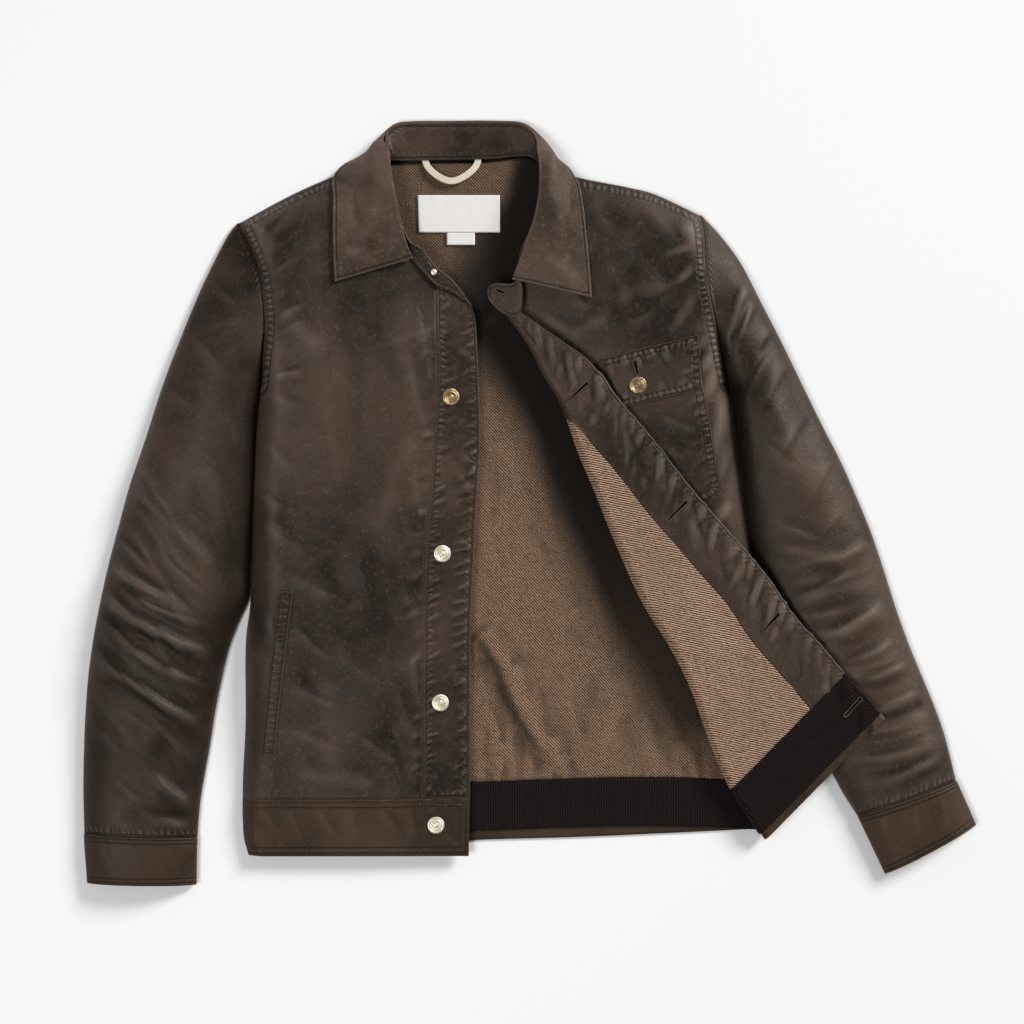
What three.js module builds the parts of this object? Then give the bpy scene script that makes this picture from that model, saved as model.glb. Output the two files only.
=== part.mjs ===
// A waxed cotton jacket, size M, lying on its back on a flat surface, with the wearer's left front turned back.
// Millimetres: +X to the viewer's right, +Y towards the collar, +Z up from the surface. Right and left are the
// wearer's, so the right front lies at negative X. Every panel is a closed wall of cloth worked out from its rim.
import * as THREE from "three";

const { clamp, lerp, smoothstep } = THREE.MathUtils;

// Cloth walls and the gap between sewn pieces
const SHELL = 1.5;
const BAND = 2.2;
const LINING = 1.2;
const SEAM = 0.3;
const PROUD = 0.4;
// Top of the two layers that lie on the floor, and of a front where it is sewn to them at the side
const BACK_TOP = SHELL;
const LINING_TOP = BACK_TOP + SEAM + LINING;
// The back is held up at the neck by the collar, which is folded under it
const NECK_LIFT = { start: 250, end: 318, height: 2.1, middle: -65, near: 115, far: 210 };
// The line where the right front's hem band is sewn on
const HEM_SEAM = -294;

// Tables: each row is a point or a section, under named columns

const table = (names, rows) => rows.map((row) => Object.fromEntries(names.split(" ").map((n, i) => [n, row[i]])));

// Every column of a table at a fractional row, on a smooth curve through the rows
function along(rows, s) {
  const i = clamp(Math.floor(s), 0, rows.length - 2);
  const f = s - i;
  const row = (k) => rows[clamp(k, 0, rows.length - 1)];
  const smooth = (name) => {
    const [a, b, c, d] = [i - 1, i, i + 1, i + 2].map((k) => row(k)[name]);
    const bend = (2 * a - 5 * b + 4 * c - d) * f * f;
    return 0.5 * (2 * b + (c - a) * f + bend + (3 * b - a - 3 * c + d) * f * f * f);
  };
  return Object.fromEntries(Object.keys(rows[0]).map((name) => [name, smooth(name)]));
}

// A table as a fine polyline, so that seams can be walked by distance and searched for their nearest point
const FINE = 8;
const trace = (rows) =>
  Array.from({ length: (rows.length - 1) * FINE + 1 }, (_, i) => along(rows, i / FINE));

const mix = (a, b, t) => Object.fromEntries(Object.keys(a).map((k) => [k, lerp(a[k], b[k] ?? a[k], t)]));

// Walks a polyline evenly by its length in plan, t from 0 to 1
function walker(line) {
  const reach = [0];
  line.slice(1).forEach((p, i) => reach.push(reach[i] + Math.hypot(p.x - line[i].x, p.y - line[i].y)));
  const whole = reach[reach.length - 1];
  return (t) => {
    const want = clamp(t, 0, 1) * whole;
    const i = clamp(reach.findIndex((r) => r >= want) - 1, 0, line.length - 2);
    return mix(line[i], line[i + 1], (want - reach[i]) / (reach[i + 1] - reach[i] || 1));
  };
}

// The nearest point of a polyline in plan, with its columns and its distance
function nearest(line, x, y) {
  let best = { distance: Infinity };
  for (let i = 0; i < line.length - 1; i++) {
    const [a, b] = [line[i], line[i + 1]];
    const [dx, dy] = [b.x - a.x, b.y - a.y];
    const t = clamp(((x - a.x) * dx + (y - a.y) * dy) / (dx * dx + dy * dy || 1), 0, 1);
    const distance = Math.hypot(x - a.x - dx * t, y - a.y - dy * t);
    if (distance < best.distance) best = { ...mix(a, b, t), distance };
  }
  return best;
}

// A table read down its y column, for heights that change along the body
function downTheBody(rows, y) {
  const i = clamp(rows.findIndex((r) => r.y <= y), 1, rows.length - 1);
  const t = clamp((rows[i - 1].y - y) / (rows[i - 1].y - rows[i].y), 0, 1);
  return mix(rows[i - 1], rows[i], t * t * (3 - 2 * t));
}

// Soft folds: a ridge, or a trough where height is negative, along a straight run that dies out at its ends
const FOLD_NAMES = "x1 y1 x2 y2 width height";
function folded(folds, x, y) {
  return folds.reduce((sum, f) => {
    const [dx, dy] = [f.x2 - f.x1, f.y2 - f.y1];
    const run = ((x - f.x1) * dx + (y - f.y1) * dy) / (dx * dx + dy * dy);
    const aside = Math.hypot(x - f.x1 - dx * run, y - f.y1 - dy * run) / f.width;
    const ends = smoothstep(run, -0.2, 0.25) * (1 - smoothstep(run, 0.75, 1.2));
    return sum + f.height * ends * Math.exp(-aside * aside);
  }, 0);
}

// Seams of the right front, from the front edge round the neck, shoulder, armhole and side to the hem.
// z is the height of the cloth's upper face there, and roll the distance in which it rises to full height.
const RIM = "x y z roll";
const rightPlacketTop = trace(table(RIM, [[-66, 206, 11.5, 18], [-80, 211, 12.5, 16], [-92, 216, 14, 16]]));
const rightNeck = trace(table(RIM, [
  [-92, 216, 14, 16], [-112, 238, 18.5, 16], [-124, 256, 20, 16], [-132, 275, 19.5, 18],
  [-143, 300, 15, 20], [-150, 322, 10, 24], [-158, 337, 6.2, 28],
]));
const rightShoulder = trace(table(RIM, [
  [-158, 337, 6.2, 28], [-194, 326, 5.6, 34], [-240, 306, 4, 34], [-290, 279, 3.3, 30],
]));
const rightArmhole = trace(table(RIM, [
  [-290, 279, 3.3, 30], [-280, 260, 9, 24], [-269, 232, 18, 24], [-263.6, 203, 24, 24],
  [-262, 174, 24, 24], [-264.5, 148, 17, 24], [-267, 130, 8, 26], [-269, 117, 3.3, 30],
]));
const rightSide = trace(table(RIM, [
  [-269, 117, 3.3, 30], [-274, 60, 3.3, 38], [-277, -17, 3.3, 40], [-278, -95, 3.3, 40],
  [-283, -141, 3.3, 40], [-283, -215, 3.3, 38], [-285.5, -270, 3.3, 34], [-286, HEM_SEAM, 3.3, 30],
]));
const rightHemSide = trace(table(RIM, [
  [-286, HEM_SEAM, 3.3, 30], [-286, -312, 3.3, 28], [-284.6, -334, 3.3, 26], [-280, -351, 3.3, 22],
]));
const rightRim = [...rightPlacketTop, ...rightNeck, ...rightShoulder, ...rightArmhole, ...rightSide, ...rightHemSide];
const placketSeam = trace(table("x y", [
  [-92, 216], [-91.5, 165], [-91, 116], [-97, 12], [-102, -56], [-104, -137], [-105, HEM_SEAM],
]));
const frontEdge = trace(table("x y", [
  [-66, 206], [-57, 195], [-53, 178], [-51.5, 150], [-50, 110], [-49, 63], [-50, 37], [-53, -10], [-56, -74],
  [-58.4, -137], [-59, -277], [-59.2, HEM_SEAM],
]));
const hemFrontEdge = trace(table("x y", [[-59.2, HEM_SEAM], [-59.6, -322], [-60, -351]]));

// Heights of the right front's upper face: away from its rim, and at its front edge
const rightHeights = table("y body front", [
  [345, 16, 12], [250, 27, 12], [150, 31, 13], [0, 32, 13.5], [-150, 29, 13], [HEM_SEAM, 19, 12.4], [-355, 14, 12],
]);
const FRONT_SLOPE = 115;
const rightFolds = table(FOLD_NAMES, [
  [-229, 283, -199, 83, 22, 3], [-134, 173, -112, -257, 20, 2.6], [-169, 203, -159, -67, 24, -4],
  [-199, -137, -129, -197, 16, 3], [-199, -57, -179, -97, 16, -3], [-229, -267, -159, -282, 12, 2.4],
  [-250, 60, -236, -60, 14, -2.6], [-215, -150, -205, -260, 14, -2.4], [-120, 60, -150, -20, 12, 2],
  [-245, 190, -205, 150, 11, 2.2], [-140, -215, -122, -270, 9, -2], [-262, -20, -225, -50, 10, 2],
]);
function rightTop(x, y) {
  const rim = nearest(rightRim, x, y);
  const edge = nearest([...frontEdge, ...hemFrontEdge], x, y).distance;
  const { body, front } = downTheBody(rightHeights, y);
  const full = lerp(front, body, smoothstep(edge, 0, FRONT_SLOPE)) + folded(rightFolds, x, y) * smoothstep(edge, 0, 60);
  return lerp(rim.z, full, 1 - (1 - clamp(rim.distance / rim.roll, 0, 1)) ** 3);
}

// Seams of the left front, from the end of the neck round the shoulder, armhole and side to the hem
const leftNeck = trace(table(RIM, [
  [-17, 197, 15, 14], [-8, 212, 17, 16], [0, 240, 20, 16], [9, 266, 20, 18], [17, 290, 16.5, 20],
  [22, 318, 10.5, 24], [24, 336, 6.2, 28],
]));
const leftShoulder = trace(table(RIM, [
  [24, 336, 6.2, 28], [49, 325, 5.8, 30], [99, 315, 4.4, 34], [128, 307.5, 3.8, 34], [171, 287, 3.3, 30],
]));
const leftArmhole = trace(table(RIM, [
  [171, 287, 3.3, 30], [174.5, 270, 9, 24], [175.5, 250, 17, 24], [177, 220, 24, 24],
  [182, 191, 25, 24], [189, 162, 19, 24], [195, 136, 9, 26], [199, 119, 3.3, 30],
]));
const leftSide = trace(table(RIM, [
  [199, 119, 3.3, 30], [206.5, 94, 3.3, 36], [212, 44, 3.3, 40], [218, -8, 3.3, 40], [224, -61, 3.3, 40],
  [229, -130, 3.3, 34], [233, -197, 3.3, 28], [238, -277, 3.3, 18],
]));
const leftHemSide = trace(table(RIM, [[238, -277, 3.3, 18], [239, -302, 3.3, 14], [240, -326, 3.3, 10]]));
const leftRim = [...leftNeck, ...leftShoulder, ...leftArmhole, ...leftSide, ...leftHemSide];

// The left front is turned back along a diagonal from the neck to the hem. Each row is one course across the turned
// part: where it rolls over, its free edge, the roll's radius, and heights of the cloth's under face from roll to edge.
const turned = table("foldX foldY edgeX edgeY radius top mid edge", [
  [-24, 188, -17, 195, 2, 20, 20.5, 21],
  [-2, 158, 14, 173, 3, 22, 23.5, 24.5],
  [15, 125, 38, 156, 3.6, 24, 26, 27.5],
  [31, 98, 63, 136, 4, 25, 27.5, 29],
  [49, 48, 94, 96, 4.5, 25.5, 28, 30.5],
  [63, 15, 120, 66, 4.5, 25.5, 28, 30.5],
  [84, -37, 156, 20, 4.5, 25, 27, 28.5],
  [111, -97, 197, -28, 4.5, 23.5, 25, 26],
  [138, -141, 232, -68, 4.5, 22, 23.5, 24.5],
  [160, -184, 262, -111, 4.5, 20, 23, 26],
  [180, -240, 290, -142, 4.2, 18, 23, 28.8],
  [200, -285, 312, -168.5, 4, 15.8, 22.5, 30],
  [233.7, -337, 352, -213, 3.4, 12.8, 20.5, 29.5],
]);
const LAST_PANEL_ROW = 11;
const LAST_ROW = 12;
const foldLine = trace(turned).map((r) => ({ x: r.foldX, y: r.foldY }));

const leftHeights = table("y body fold", [
  [345, 16, 12], [250, 25, 13], [150, 26, 14.5], [50, 24.5, 14.5], [-50, 21, 13.5], [-150, 16, 11.5],
  [-240, 11, 9], [-300, 8.5, 7.4], [-345, 7, 6.4],
]);
const FOLD_SLOPE = 80;
const leftFolds = table(FOLD_NAMES, [
  [36, 290, 60, 240, 14, 2], [112, 262, 152, 190, 14, -2.2], [88, 205, 140, 215, 12, 1.8],
  [40, 165, 78, 185, 10, 1.6], [196, 96, 178, 40, 10, 2], [150, -30, 205, -10, 12, 1.6],
]);
function leftTop(x, y) {
  const rim = nearest(leftRim, x, y);
  const inward = nearest(foldLine, x, y).distance;
  const { body, fold } = downTheBody(leftHeights, y);
  const full = lerp(fold, body, smoothstep(inward, 0, FOLD_SLOPE)) + folded(leftFolds, x, y) * smoothstep(inward, 0, 40);
  return lerp(rim.z, full, 1 - (1 - clamp(rim.distance / rim.roll, 0, 1)) ** 3);
}

// Walls

// Turns a list of points and triangles into a mesh that faces out
function meshOf(name, cloth, points, faces) {
  const volume = faces.reduce((sum, [a, b, c]) => {
    return sum + points[a].dot(new THREE.Vector3().crossVectors(points[b], points[c]));
  }, 0);
  const turnedOut = volume < 0 ? faces.map(([a, b, c]) => [a, c, b]) : faces;
  const geometry = new THREE.BufferGeometry().setFromPoints(points);
  geometry.setIndex(turnedOut.flat());
  geometry.computeVertexNormals();
  const mesh = new THREE.Mesh(geometry, new THREE.MeshStandardMaterial(cloth));
  mesh.name = name;
  return mesh;
}

// Even steps from a to b, or steps that crowd towards both ends
const steps = (count, a = 0, b = 1) => Array.from({ length: count + 1 }, (_, i) => lerp(a, b, i / count));
const crowded = (count) => steps(count).map((t) => lerp(t, t * t * (3 - 2 * t), 0.75));

// A wall over the surface at(u, v), from `back` to `face` along its normal. `up` is 1 where u crossed with v points
// to the face, and -1 where it points away. Cells that `keep` leaves out are not built.
function wall(name, cloth, us, vs, at, back, face, up = -1, keep = () => true) {
  const grid = vs.map((v) => us.map((u) => at(u, v)));
  // The tangent along u or v, averaged over both sides of a point, so that layers of one cloth share its normals
  const tangent = (values, value, point, atValue) => {
    const step = (values[values.length - 1] - values[0]) / 1000;
    const before = atValue(Math.max(value - step, values[0]));
    const after = atValue(Math.min(value + step, values[values.length - 1]));
    const [a, b] = [point.clone().sub(before).normalize(), after.sub(point).normalize()];
    return a.add(b);
  };
  const normalAt = (i, j) => {
    const across = tangent(us, us[j], grid[i][j], (u) => at(u, vs[i]));
    const down = tangent(vs, vs[i], grid[i][j], (v) => at(us[j], v));
    return across.cross(down).normalize().multiplyScalar(up);
  };
  const normals = grid.map((row, i) => row.map((_, j) => normalAt(i, j)));
  const moved = (by) => grid.flatMap((row, i) => row.map((p, j) => p.clone().addScaledVector(normals[i][j], by)));
  const points = [...moved(face), ...moved(back)];
  const [wide, tall] = [us.length, vs.length];
  const under = wide * tall;
  const top = [];
  for (let i = 0; i < tall - 1; i++) {
    for (let j = 0; j < wide - 1; j++) {
      const [a, b, c, d] = [i * wide + j, i * wide + j + 1, (i + 1) * wide + j, (i + 1) * wide + j + 1];
      if (keep(us[j], vs[i])) top.push([a, b, d], [a, d, c]);
    }
  }
  const edges = new Set(top.flatMap(([a, b, c]) => [[a, b], [b, c], [c, a]].map(String)));
  const faces = top.flatMap(([a, b, c]) => [[a, b, c], [under + a, under + c, under + b]]);
  top.flatMap(([a, b, c]) => [[a, b], [b, c], [c, a]]).forEach(([a, b]) => {
    if (!edges.has(String([b, a]))) faces.push([a, under + b, b], [a, under + a, under + b]);
  });
  return meshOf(name, cloth, points, faces);
}

// A tube through rings of points, each ring with its outer and inner line
function tube(name, cloth, rings) {
  const around = rings[0].outer.length;
  const points = rings.flatMap((r) => [...r.outer, ...r.inner]);
  const outer = (k, i) => k * around * 2 + (i % around);
  const inner = (k, i) => outer(k, i) + around;
  const faces = [];
  for (let i = 0; i < around; i++) {
    for (let k = 0; k < rings.length - 1; k++) {
      faces.push([outer(k, i), outer(k, i + 1), outer(k + 1, i + 1)], [outer(k, i), outer(k + 1, i + 1), outer(k + 1, i)]);
      faces.push([inner(k, i), inner(k + 1, i + 1), inner(k, i + 1)], [inner(k, i), inner(k + 1, i), inner(k + 1, i + 1)]);
    }
    const last = rings.length - 1;
    faces.push([outer(0, i), inner(0, i + 1), outer(0, i + 1)], [outer(0, i), inner(0, i), inner(0, i + 1)]);
    faces.push([outer(last, i), outer(last, i + 1), inner(last, i + 1)], [outer(last, i), inner(last, i + 1), inner(last, i)]);
  }
  return meshOf(name, cloth, points, faces);
}

// The plan of a panel between its four seams, each a function of 0 to 1 that gives x and y
function plan(top, bottom, left, right) {
  const blend = (key, u, v) => {
    const [a, b, c, d] = [top(0), top(1), bottom(0), bottom(1)].map((p) => p[key]);
    const corners = lerp(lerp(a, b, u), lerp(c, d, u), v);
    return lerp(top(u)[key], bottom(u)[key], v) + lerp(left(v)[key], right(v)[key], u) - corners;
  };
  return (u, v) => ({ x: blend("x", u, v), y: blend("y", u, v) });
}

const xy = (x, y) => ({ x, y });
const straight = (a, b) => (t) => xy(lerp(a.x, b.x, t), lerp(a.y, b.y, t));
const shifted = (path, dx, dy = 0) => (t) => xy(path(t).x + dx, path(t).y + dy);
const lying = (flat, height) => (u, v) => {
  const { x, y } = flat(u, v);
  return new THREE.Vector3(x, y, height(x, y));
};

// Cloths and metals
const waxed = { color: 0x2f2620, roughness: 0.5, metalness: 0 };
const waxedBand = { color: 0x3d2c1e, roughness: 0.5, metalness: 0 };
const twill = { color: 0x7a6250, roughness: 0.9, metalness: 0 };
const corduroy = { color: 0x1c1413, roughness: 0.95, metalness: 0 };
const satin = { color: 0xeceae6, roughness: 0.6, metalness: 0 };
const tape = { color: 0xd8cdbd, roughness: 0.85, metalness: 0 };
const paleBrass = { color: 0xd9c9a4, roughness: 0.3, metalness: 1 };
const oldBrass = { color: 0xb09060, roughness: 0.4, metalness: 1 };

const jacket = new THREE.Group();
jacket.name = "waxed_cotton_jacket";

// Back: one panel on the floor, lined inside, with a hem band and a corduroy facing on the band

const backNeck = trace(table("x y", [[-158, 337], [-139, 342], [-108, 343], [-46, 343.5], [-1, 348], [24, 336]]));
const backTop = walker([...[...rightShoulder].reverse(), ...backNeck, ...leftShoulder]);
const backLeft = walker([...rightArmhole, ...rightSide]);
const backRight = walker([...leftArmhole, ...leftSide]);
const backHemSeam = { left: xy(-286, HEM_SEAM), middle: xy(-59, -278), right: xy(238, -277) };
const backHemLine = walker(trace([backHemSeam.left, xy(-170, -284), backHemSeam.middle, xy(113, -273), backHemSeam.right]));
const backHemEnd = walker(trace([xy(-281, -349), xy(-170, -343), xy(-59, -337), xy(40, -334), xy(113, -331), xy(240, -325)]));

function neckLift(x, y) {
  const { start, end, height, middle, near, far } = NECK_LIFT;
  return height * smoothstep(y, start, end) * (1 - smoothstep(Math.abs(x - middle), near, far));
}
const backFlat = plan(backTop, backHemLine, backLeft, backRight);
jacket.add(wall("back_panel", waxed, steps(16), steps(14), lying(backFlat, (x, y) => neckLift(x, y) + BACK_TOP), -SHELL, 0));

const hemBackFlat = plan(
  shifted(backHemLine, 0, -SEAM), backHemEnd,
  walker([xy(-286, HEM_SEAM - SEAM), xy(-286, -312), xy(-284.6, -334), xy(-281, -349)]),
  straight(xy(238, -277 - SEAM), xy(240, -325)),
);
jacket.add(wall("hem_band_back", waxedBand, steps(20), steps(2), lying(hemBackFlat, () => BACK_TOP), -SHELL, 0));

// The lining stands a little off the back in soft folds where nothing lies on it
const LINING_INSET = 11;
const liningFolds = table(FOLD_NAMES, [
  [-51, -137, -24, -162, 14, 5], [-24, -162, -4, -217, 14, 6], [-4, -217, 16, -252, 12, 5],
  [-20, 120, 10, -20, 22, 3.5], [40, -20, 70, -130, 20, 3], [90, -180, 60, -262, 16, 3.6],
  [110, -215, 120, -262, 10, 2.6], [-30, -240, -36, -268, 9, 2.4], [20, -235, 26, -268, 8, 2.6],
  [150, -240, 156, -262, 9, 2], [-60, 250, -40, 200, 20, 2], [30, 60, 55, -10, 14, 2.2],
]);
const SLACK = 0.6; // the lining eases over the lift at the neck
const liningTop = (x, y) =>
  LINING_TOP + neckLift(x, y) + SLACK * smoothstep(y, 200, 270) + Math.max(folded(liningFolds, x, y), 0);
const liningFlat = plan(
  (t) => xy(lerp(-272, 158, t), backTop(lerp(0.04, 0.96, t)).y - lerp(7, 2, Math.sin(Math.PI * t))),
  (t) => shifted(backHemLine, 0, 2 * SEAM)(lerp(0.02, 0.98, t)),
  shifted(backLeft, LINING_INSET), shifted(backRight, -LINING_INSET),
);
jacket.add(wall("back_lining", twill, steps(20), steps(20), lying(liningFlat, liningTop), -LINING, 0));
const CORDUROY_DEPTH = 49;
const liningHem = (t) => liningFlat(t, 1);
const facingBackFlat = plan(
  shifted(liningHem, 0, -2 * SEAM), shifted(liningHem, 0, -CORDUROY_DEPTH),
  straight(shifted(liningHem, 0, -2 * SEAM)(0), shifted(liningHem, 0, -CORDUROY_DEPTH)(0)),
  straight(shifted(liningHem, 0, -2 * SEAM)(1), shifted(liningHem, 0, -CORDUROY_DEPTH)(1)),
);
jacket.add(wall("hem_facing_back", corduroy, steps(20), steps(2), lying(facingBackFlat, () => LINING_TOP), -LINING, 0));

// Right front: the panel, its placket, its hem band and the welt of its hand pocket

const seamPath = walker(placketSeam);
const edgePath = walker(frontEdge);
const frontRightFlat = plan(
  walker([...[...rightShoulder].reverse(), ...[...rightNeck].reverse()]),
  straight(xy(-286, HEM_SEAM), xy(-105 - SEAM, HEM_SEAM)),
  backLeft, shifted(seamPath, -SEAM),
);
jacket.add(wall("front_right", waxed, crowded(16), steps(20), lying(frontRightFlat, rightTop), -SHELL, 0));

const placketFlat = plan(
  walker([...rightPlacketTop].reverse()), straight(xy(-105, HEM_SEAM), xy(-59.2, HEM_SEAM)), seamPath, edgePath,
);
const placketTop = (x, y) => rightTop(x, y) + PROUD;
jacket.add(wall("placket_right", waxed, steps(3), steps(22), lying(placketFlat, placketTop), -BAND, 0));

const hemRightFlat = plan(
  straight(xy(-286, HEM_SEAM - SEAM), xy(-59.2, HEM_SEAM - SEAM)), straight(xy(-280, -351), xy(-60, -351)),
  shifted(walker(rightHemSide), 0, -SEAM), shifted(walker(trace([xy(-59.2, HEM_SEAM), xy(-60, -351)])), 0, -SEAM),
);
jacket.add(wall("hem_band_right", waxedBand, steps(18), steps(3), lying(hemRightFlat, placketTop), -BAND, 0));

const WELT_WIDTH = 14;
const weltSlit = walker(trace([xy(-247, -87), xy(-257, -168), xy(-266, -250)]));
const weltFlat = plan(
  straight(xy(-247, -87), xy(-247 + WELT_WIDTH + 3, -90)), straight(xy(-266, -250), xy(-266 + WELT_WIDTH, -254)),
  weltSlit, shifted(weltSlit, WELT_WIDTH),
);
jacket.add(wall("welt_right", waxed, steps(2), steps(10), lying(weltFlat, rightTop), SEAM, SEAM + LINING));

// Left front: one cloth from the armhole to the roll, over it, and out to the free edge. Course s runs down the
// turned table, and across runs from 0 at the side seam, 1 at the foot of the roll, 2 at its top, 3 at the edge.

const leftUpper = walker([...leftNeck, ...leftShoulder]);
const leftOuter = walker([...leftArmhole, ...leftSide]);
const leftHemOuter = walker(leftHemSide);
const LAYER_GAP = 0.7;
const LAYERS = SHELL + LAYER_GAP + LINING; // what lies between the cloth's under face at the roll and the outside of its lining

function course(s) {
  const row = along(turned, s);
  const towards = xy(row.edgeX - row.foldX, row.edgeY - row.foldY);
  const width = Math.hypot(towards.x, towards.y);
  const out = xy(towards.x / width, towards.y / width);
  const side = s <= LAST_PANEL_ROW ? leftOuter(s / LAST_PANEL_ROW) : leftHemOuter(s - LAST_PANEL_ROW);
  const apart = Math.hypot(side.x - row.foldX, side.y - row.foldY);
  const inward = xy((side.x - row.foldX) / apart, (side.y - row.foldY) / apart);
  const at = (distance, way) => xy(row.foldX + way.x * distance, row.foldY + way.y * distance);
  const foot = at(LAYERS + row.radius, inward);
  return { ...row, out, inward, side, at, foot, width, low: leftTop(foot.x, foot.y) };
}

function rolled(c, t) {
  const turn = Math.PI * t;
  const blendWay = xy(lerp(c.inward.x, c.out.x, t), lerp(c.inward.y, c.out.y, t));
  const size = Math.hypot(blendWay.x, blendWay.y);
  const way = xy(blendWay.x / size, blendWay.y / size);
  const p = c.at(LAYERS + c.radius * (1 - Math.sin(turn)), way);
  return new THREE.Vector3(p.x, p.y, lerp(c.low, c.top, (1 - Math.cos(turn)) / 2));
}

function turnedPart(c, t) {
  const p = c.at(lerp(LAYERS + c.radius, c.width, t), c.out);
  const [a, b, d] = [c.top, c.mid, c.edge];
  return new THREE.Vector3(p.x, p.y, a + t * (4 * b - 3 * a - d) + t * t * (2 * a + 2 * d - 4 * b));
}

const footPath = (t) => course(t * LAST_PANEL_ROW).foot;
const faceUp = plan(
  (t) => leftUpper(1 - t), (t) => straight(leftOuter(1), footPath(1))(t), leftOuter, footPath,
);
function leftFront(across, s) {
  const c = course(s);
  if (across <= 1 && s <= LAST_PANEL_ROW) return lying(faceUp, leftTop)(across, s / LAST_PANEL_ROW);
  if (across <= 1) {
    const p = straight(c.side, c.foot)(across);
    return new THREE.Vector3(p.x, p.y, leftTop(p.x, p.y));
  }
  return across <= 2 ? rolled(c, across - 1) : turnedPart(c, across - 2);
}
const acrossLeft = [...crowded(9), ...steps(6, 1, 2).slice(1), ...steps(6, 2, 3).slice(1)];
const HEM_GAP = SEAM / 58;
const leftRows = steps(22, 0, LAST_PANEL_ROW);
jacket.add(wall("front_left", waxed, acrossLeft, leftRows, leftFront, -SHELL, 0, 1));
jacket.add(wall("hem_band_left", waxedBand, acrossLeft, steps(3, LAST_PANEL_ROW + HEM_GAP, LAST_ROW), leftFront, -SHELL, 0, 1));

function overRoll(s) {
  const c = course(s);
  const flat = c.width - LAYERS - c.radius;
  return { flat, reach: flat + (Math.PI * (c.radius + (c.top - c.low) / 2)) / 2 };
}

// Facing, lining and corduroy of the left front: the same cloth's points moved out, from `from` to `to` millimetres
// in from the free edge, over the turned part and on round the roll
function inward(s, distance) {
  const c = course(s);
  const { flat, reach } = overRoll(s);
  const roll = reach - flat;
  if (distance <= flat) return leftFront(3 - distance / flat, s);
  if (distance <= flat + roll) return leftFront(2 - (distance - flat) / roll, s);
  const face = Math.hypot(c.side.x - c.foot.x, c.side.y - c.foot.y);
  return leftFront(1 - (distance - flat - roll) / face, s);
}
const FACING_WIDTH = 48;
const UNDER = 14; // how far the lining runs on under the face-up part
const outside = [-LAYERS, -SHELL - LAYER_GAP];
const FLAT_STEPS = 5;
const ROLL_STEPS = 6;
const STRIP = 11;
const STRIP_ROW = LAST_ROW - STRIP / 60;
// The facing is a strip along the free edge. Where the turned part is narrower than it, it goes on round the roll.
const APEX_ROW = 3.5;
function facingAt(step, s) {
  const { flat, reach } = overRoll(s);
  const first = Math.min(FACING_WIDTH, flat);
  if (step <= FLAT_STEPS) return inward(s, (first * step) / FLAT_STEPS);
  return inward(s, lerp(first, Math.max(reach + 5, first + 5), (step - FLAT_STEPS) / ROLL_STEPS));
}
const counted = (count) => Array.from({ length: count + 1 }, (_, i) => i);
jacket.add(wall(
  "facing_left", waxed, counted(FLAT_STEPS + ROLL_STEPS), leftRows, facingAt, ...outside, -1,
  (step, s) => step < FLAT_STEPS || s < APEX_ROW,
));
// From a seam on the turned part (or its free edge, at 3) to the roll, round it, and a little way under
function roundRoll(seam, step, s) {
  const c = course(s);
  const under = UNDER / Math.hypot(c.side.x - c.foot.x, c.side.y - c.foot.y);
  if (step <= FLAT_STEPS) return leftFront(lerp(seam, 2, step / FLAT_STEPS), s);
  if (step <= FLAT_STEPS + ROLL_STEPS) return leftFront(2 - (step - FLAT_STEPS) / ROLL_STEPS, s);
  return leftFront(1 - (step - FLAT_STEPS - ROLL_STEPS) * Math.min(under, 1), s);
}
const liningRows = [APEX_ROW + 0.03, ...leftRows.filter((s) => s > APEX_ROW)];
const facingSeam = (s) => Math.max(3 - (FACING_WIDTH + 2 * SEAM) / overRoll(s).flat, 2.01);
jacket.add(wall(
  "lining_left", twill, counted(FLAT_STEPS + ROLL_STEPS + 1), liningRows,
  (step, s) => roundRoll(facingSeam(s), step, s), ...outside, -1,
));
jacket.add(wall(
  "hem_facing_left", corduroy, counted(FLAT_STEPS + ROLL_STEPS), steps(2, LAST_PANEL_ROW + 2 * HEM_GAP, STRIP_ROW),
  (step, s) => roundRoll(3, step, s), ...outside, -1,
));

const EASE = 0.7; // cloth sewn on top of a panel stands off it a little
// Breast pocket, made from the chest's points, with its buttoned band above
const pocketFlat = plan(
  straight(xy(68, 141.5), xy(166, 164)), walker([xy(104, 6), xy(138, -22), xy(174, 2)]),
  walker(trace([xy(68, 141.5), xy(84, 80), xy(104, 6)])),
  walker(trace([xy(166, 164), xy(171, 116), xy(180, 79), xy(174, 2)])),
);
jacket.add(wall("breast_pocket", waxed, steps(7), steps(8), lying(pocketFlat, leftTop), EASE, EASE + LINING));
const bandFlat = plan(
  straight(xy(72, 143), xy(167, 166)), straight(xy(93, 94), xy(171, 113)),
  straight(xy(72, 143), xy(93, 94)), straight(xy(167, 166), xy(171, 113)),
);
const ON_POCKET = EASE + LINING + SEAM;
jacket.add(wall("pocket_flap", waxed, steps(8), steps(4), lying(bandFlat, leftTop), ON_POCKET, ON_POCKET + LINING));

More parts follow.
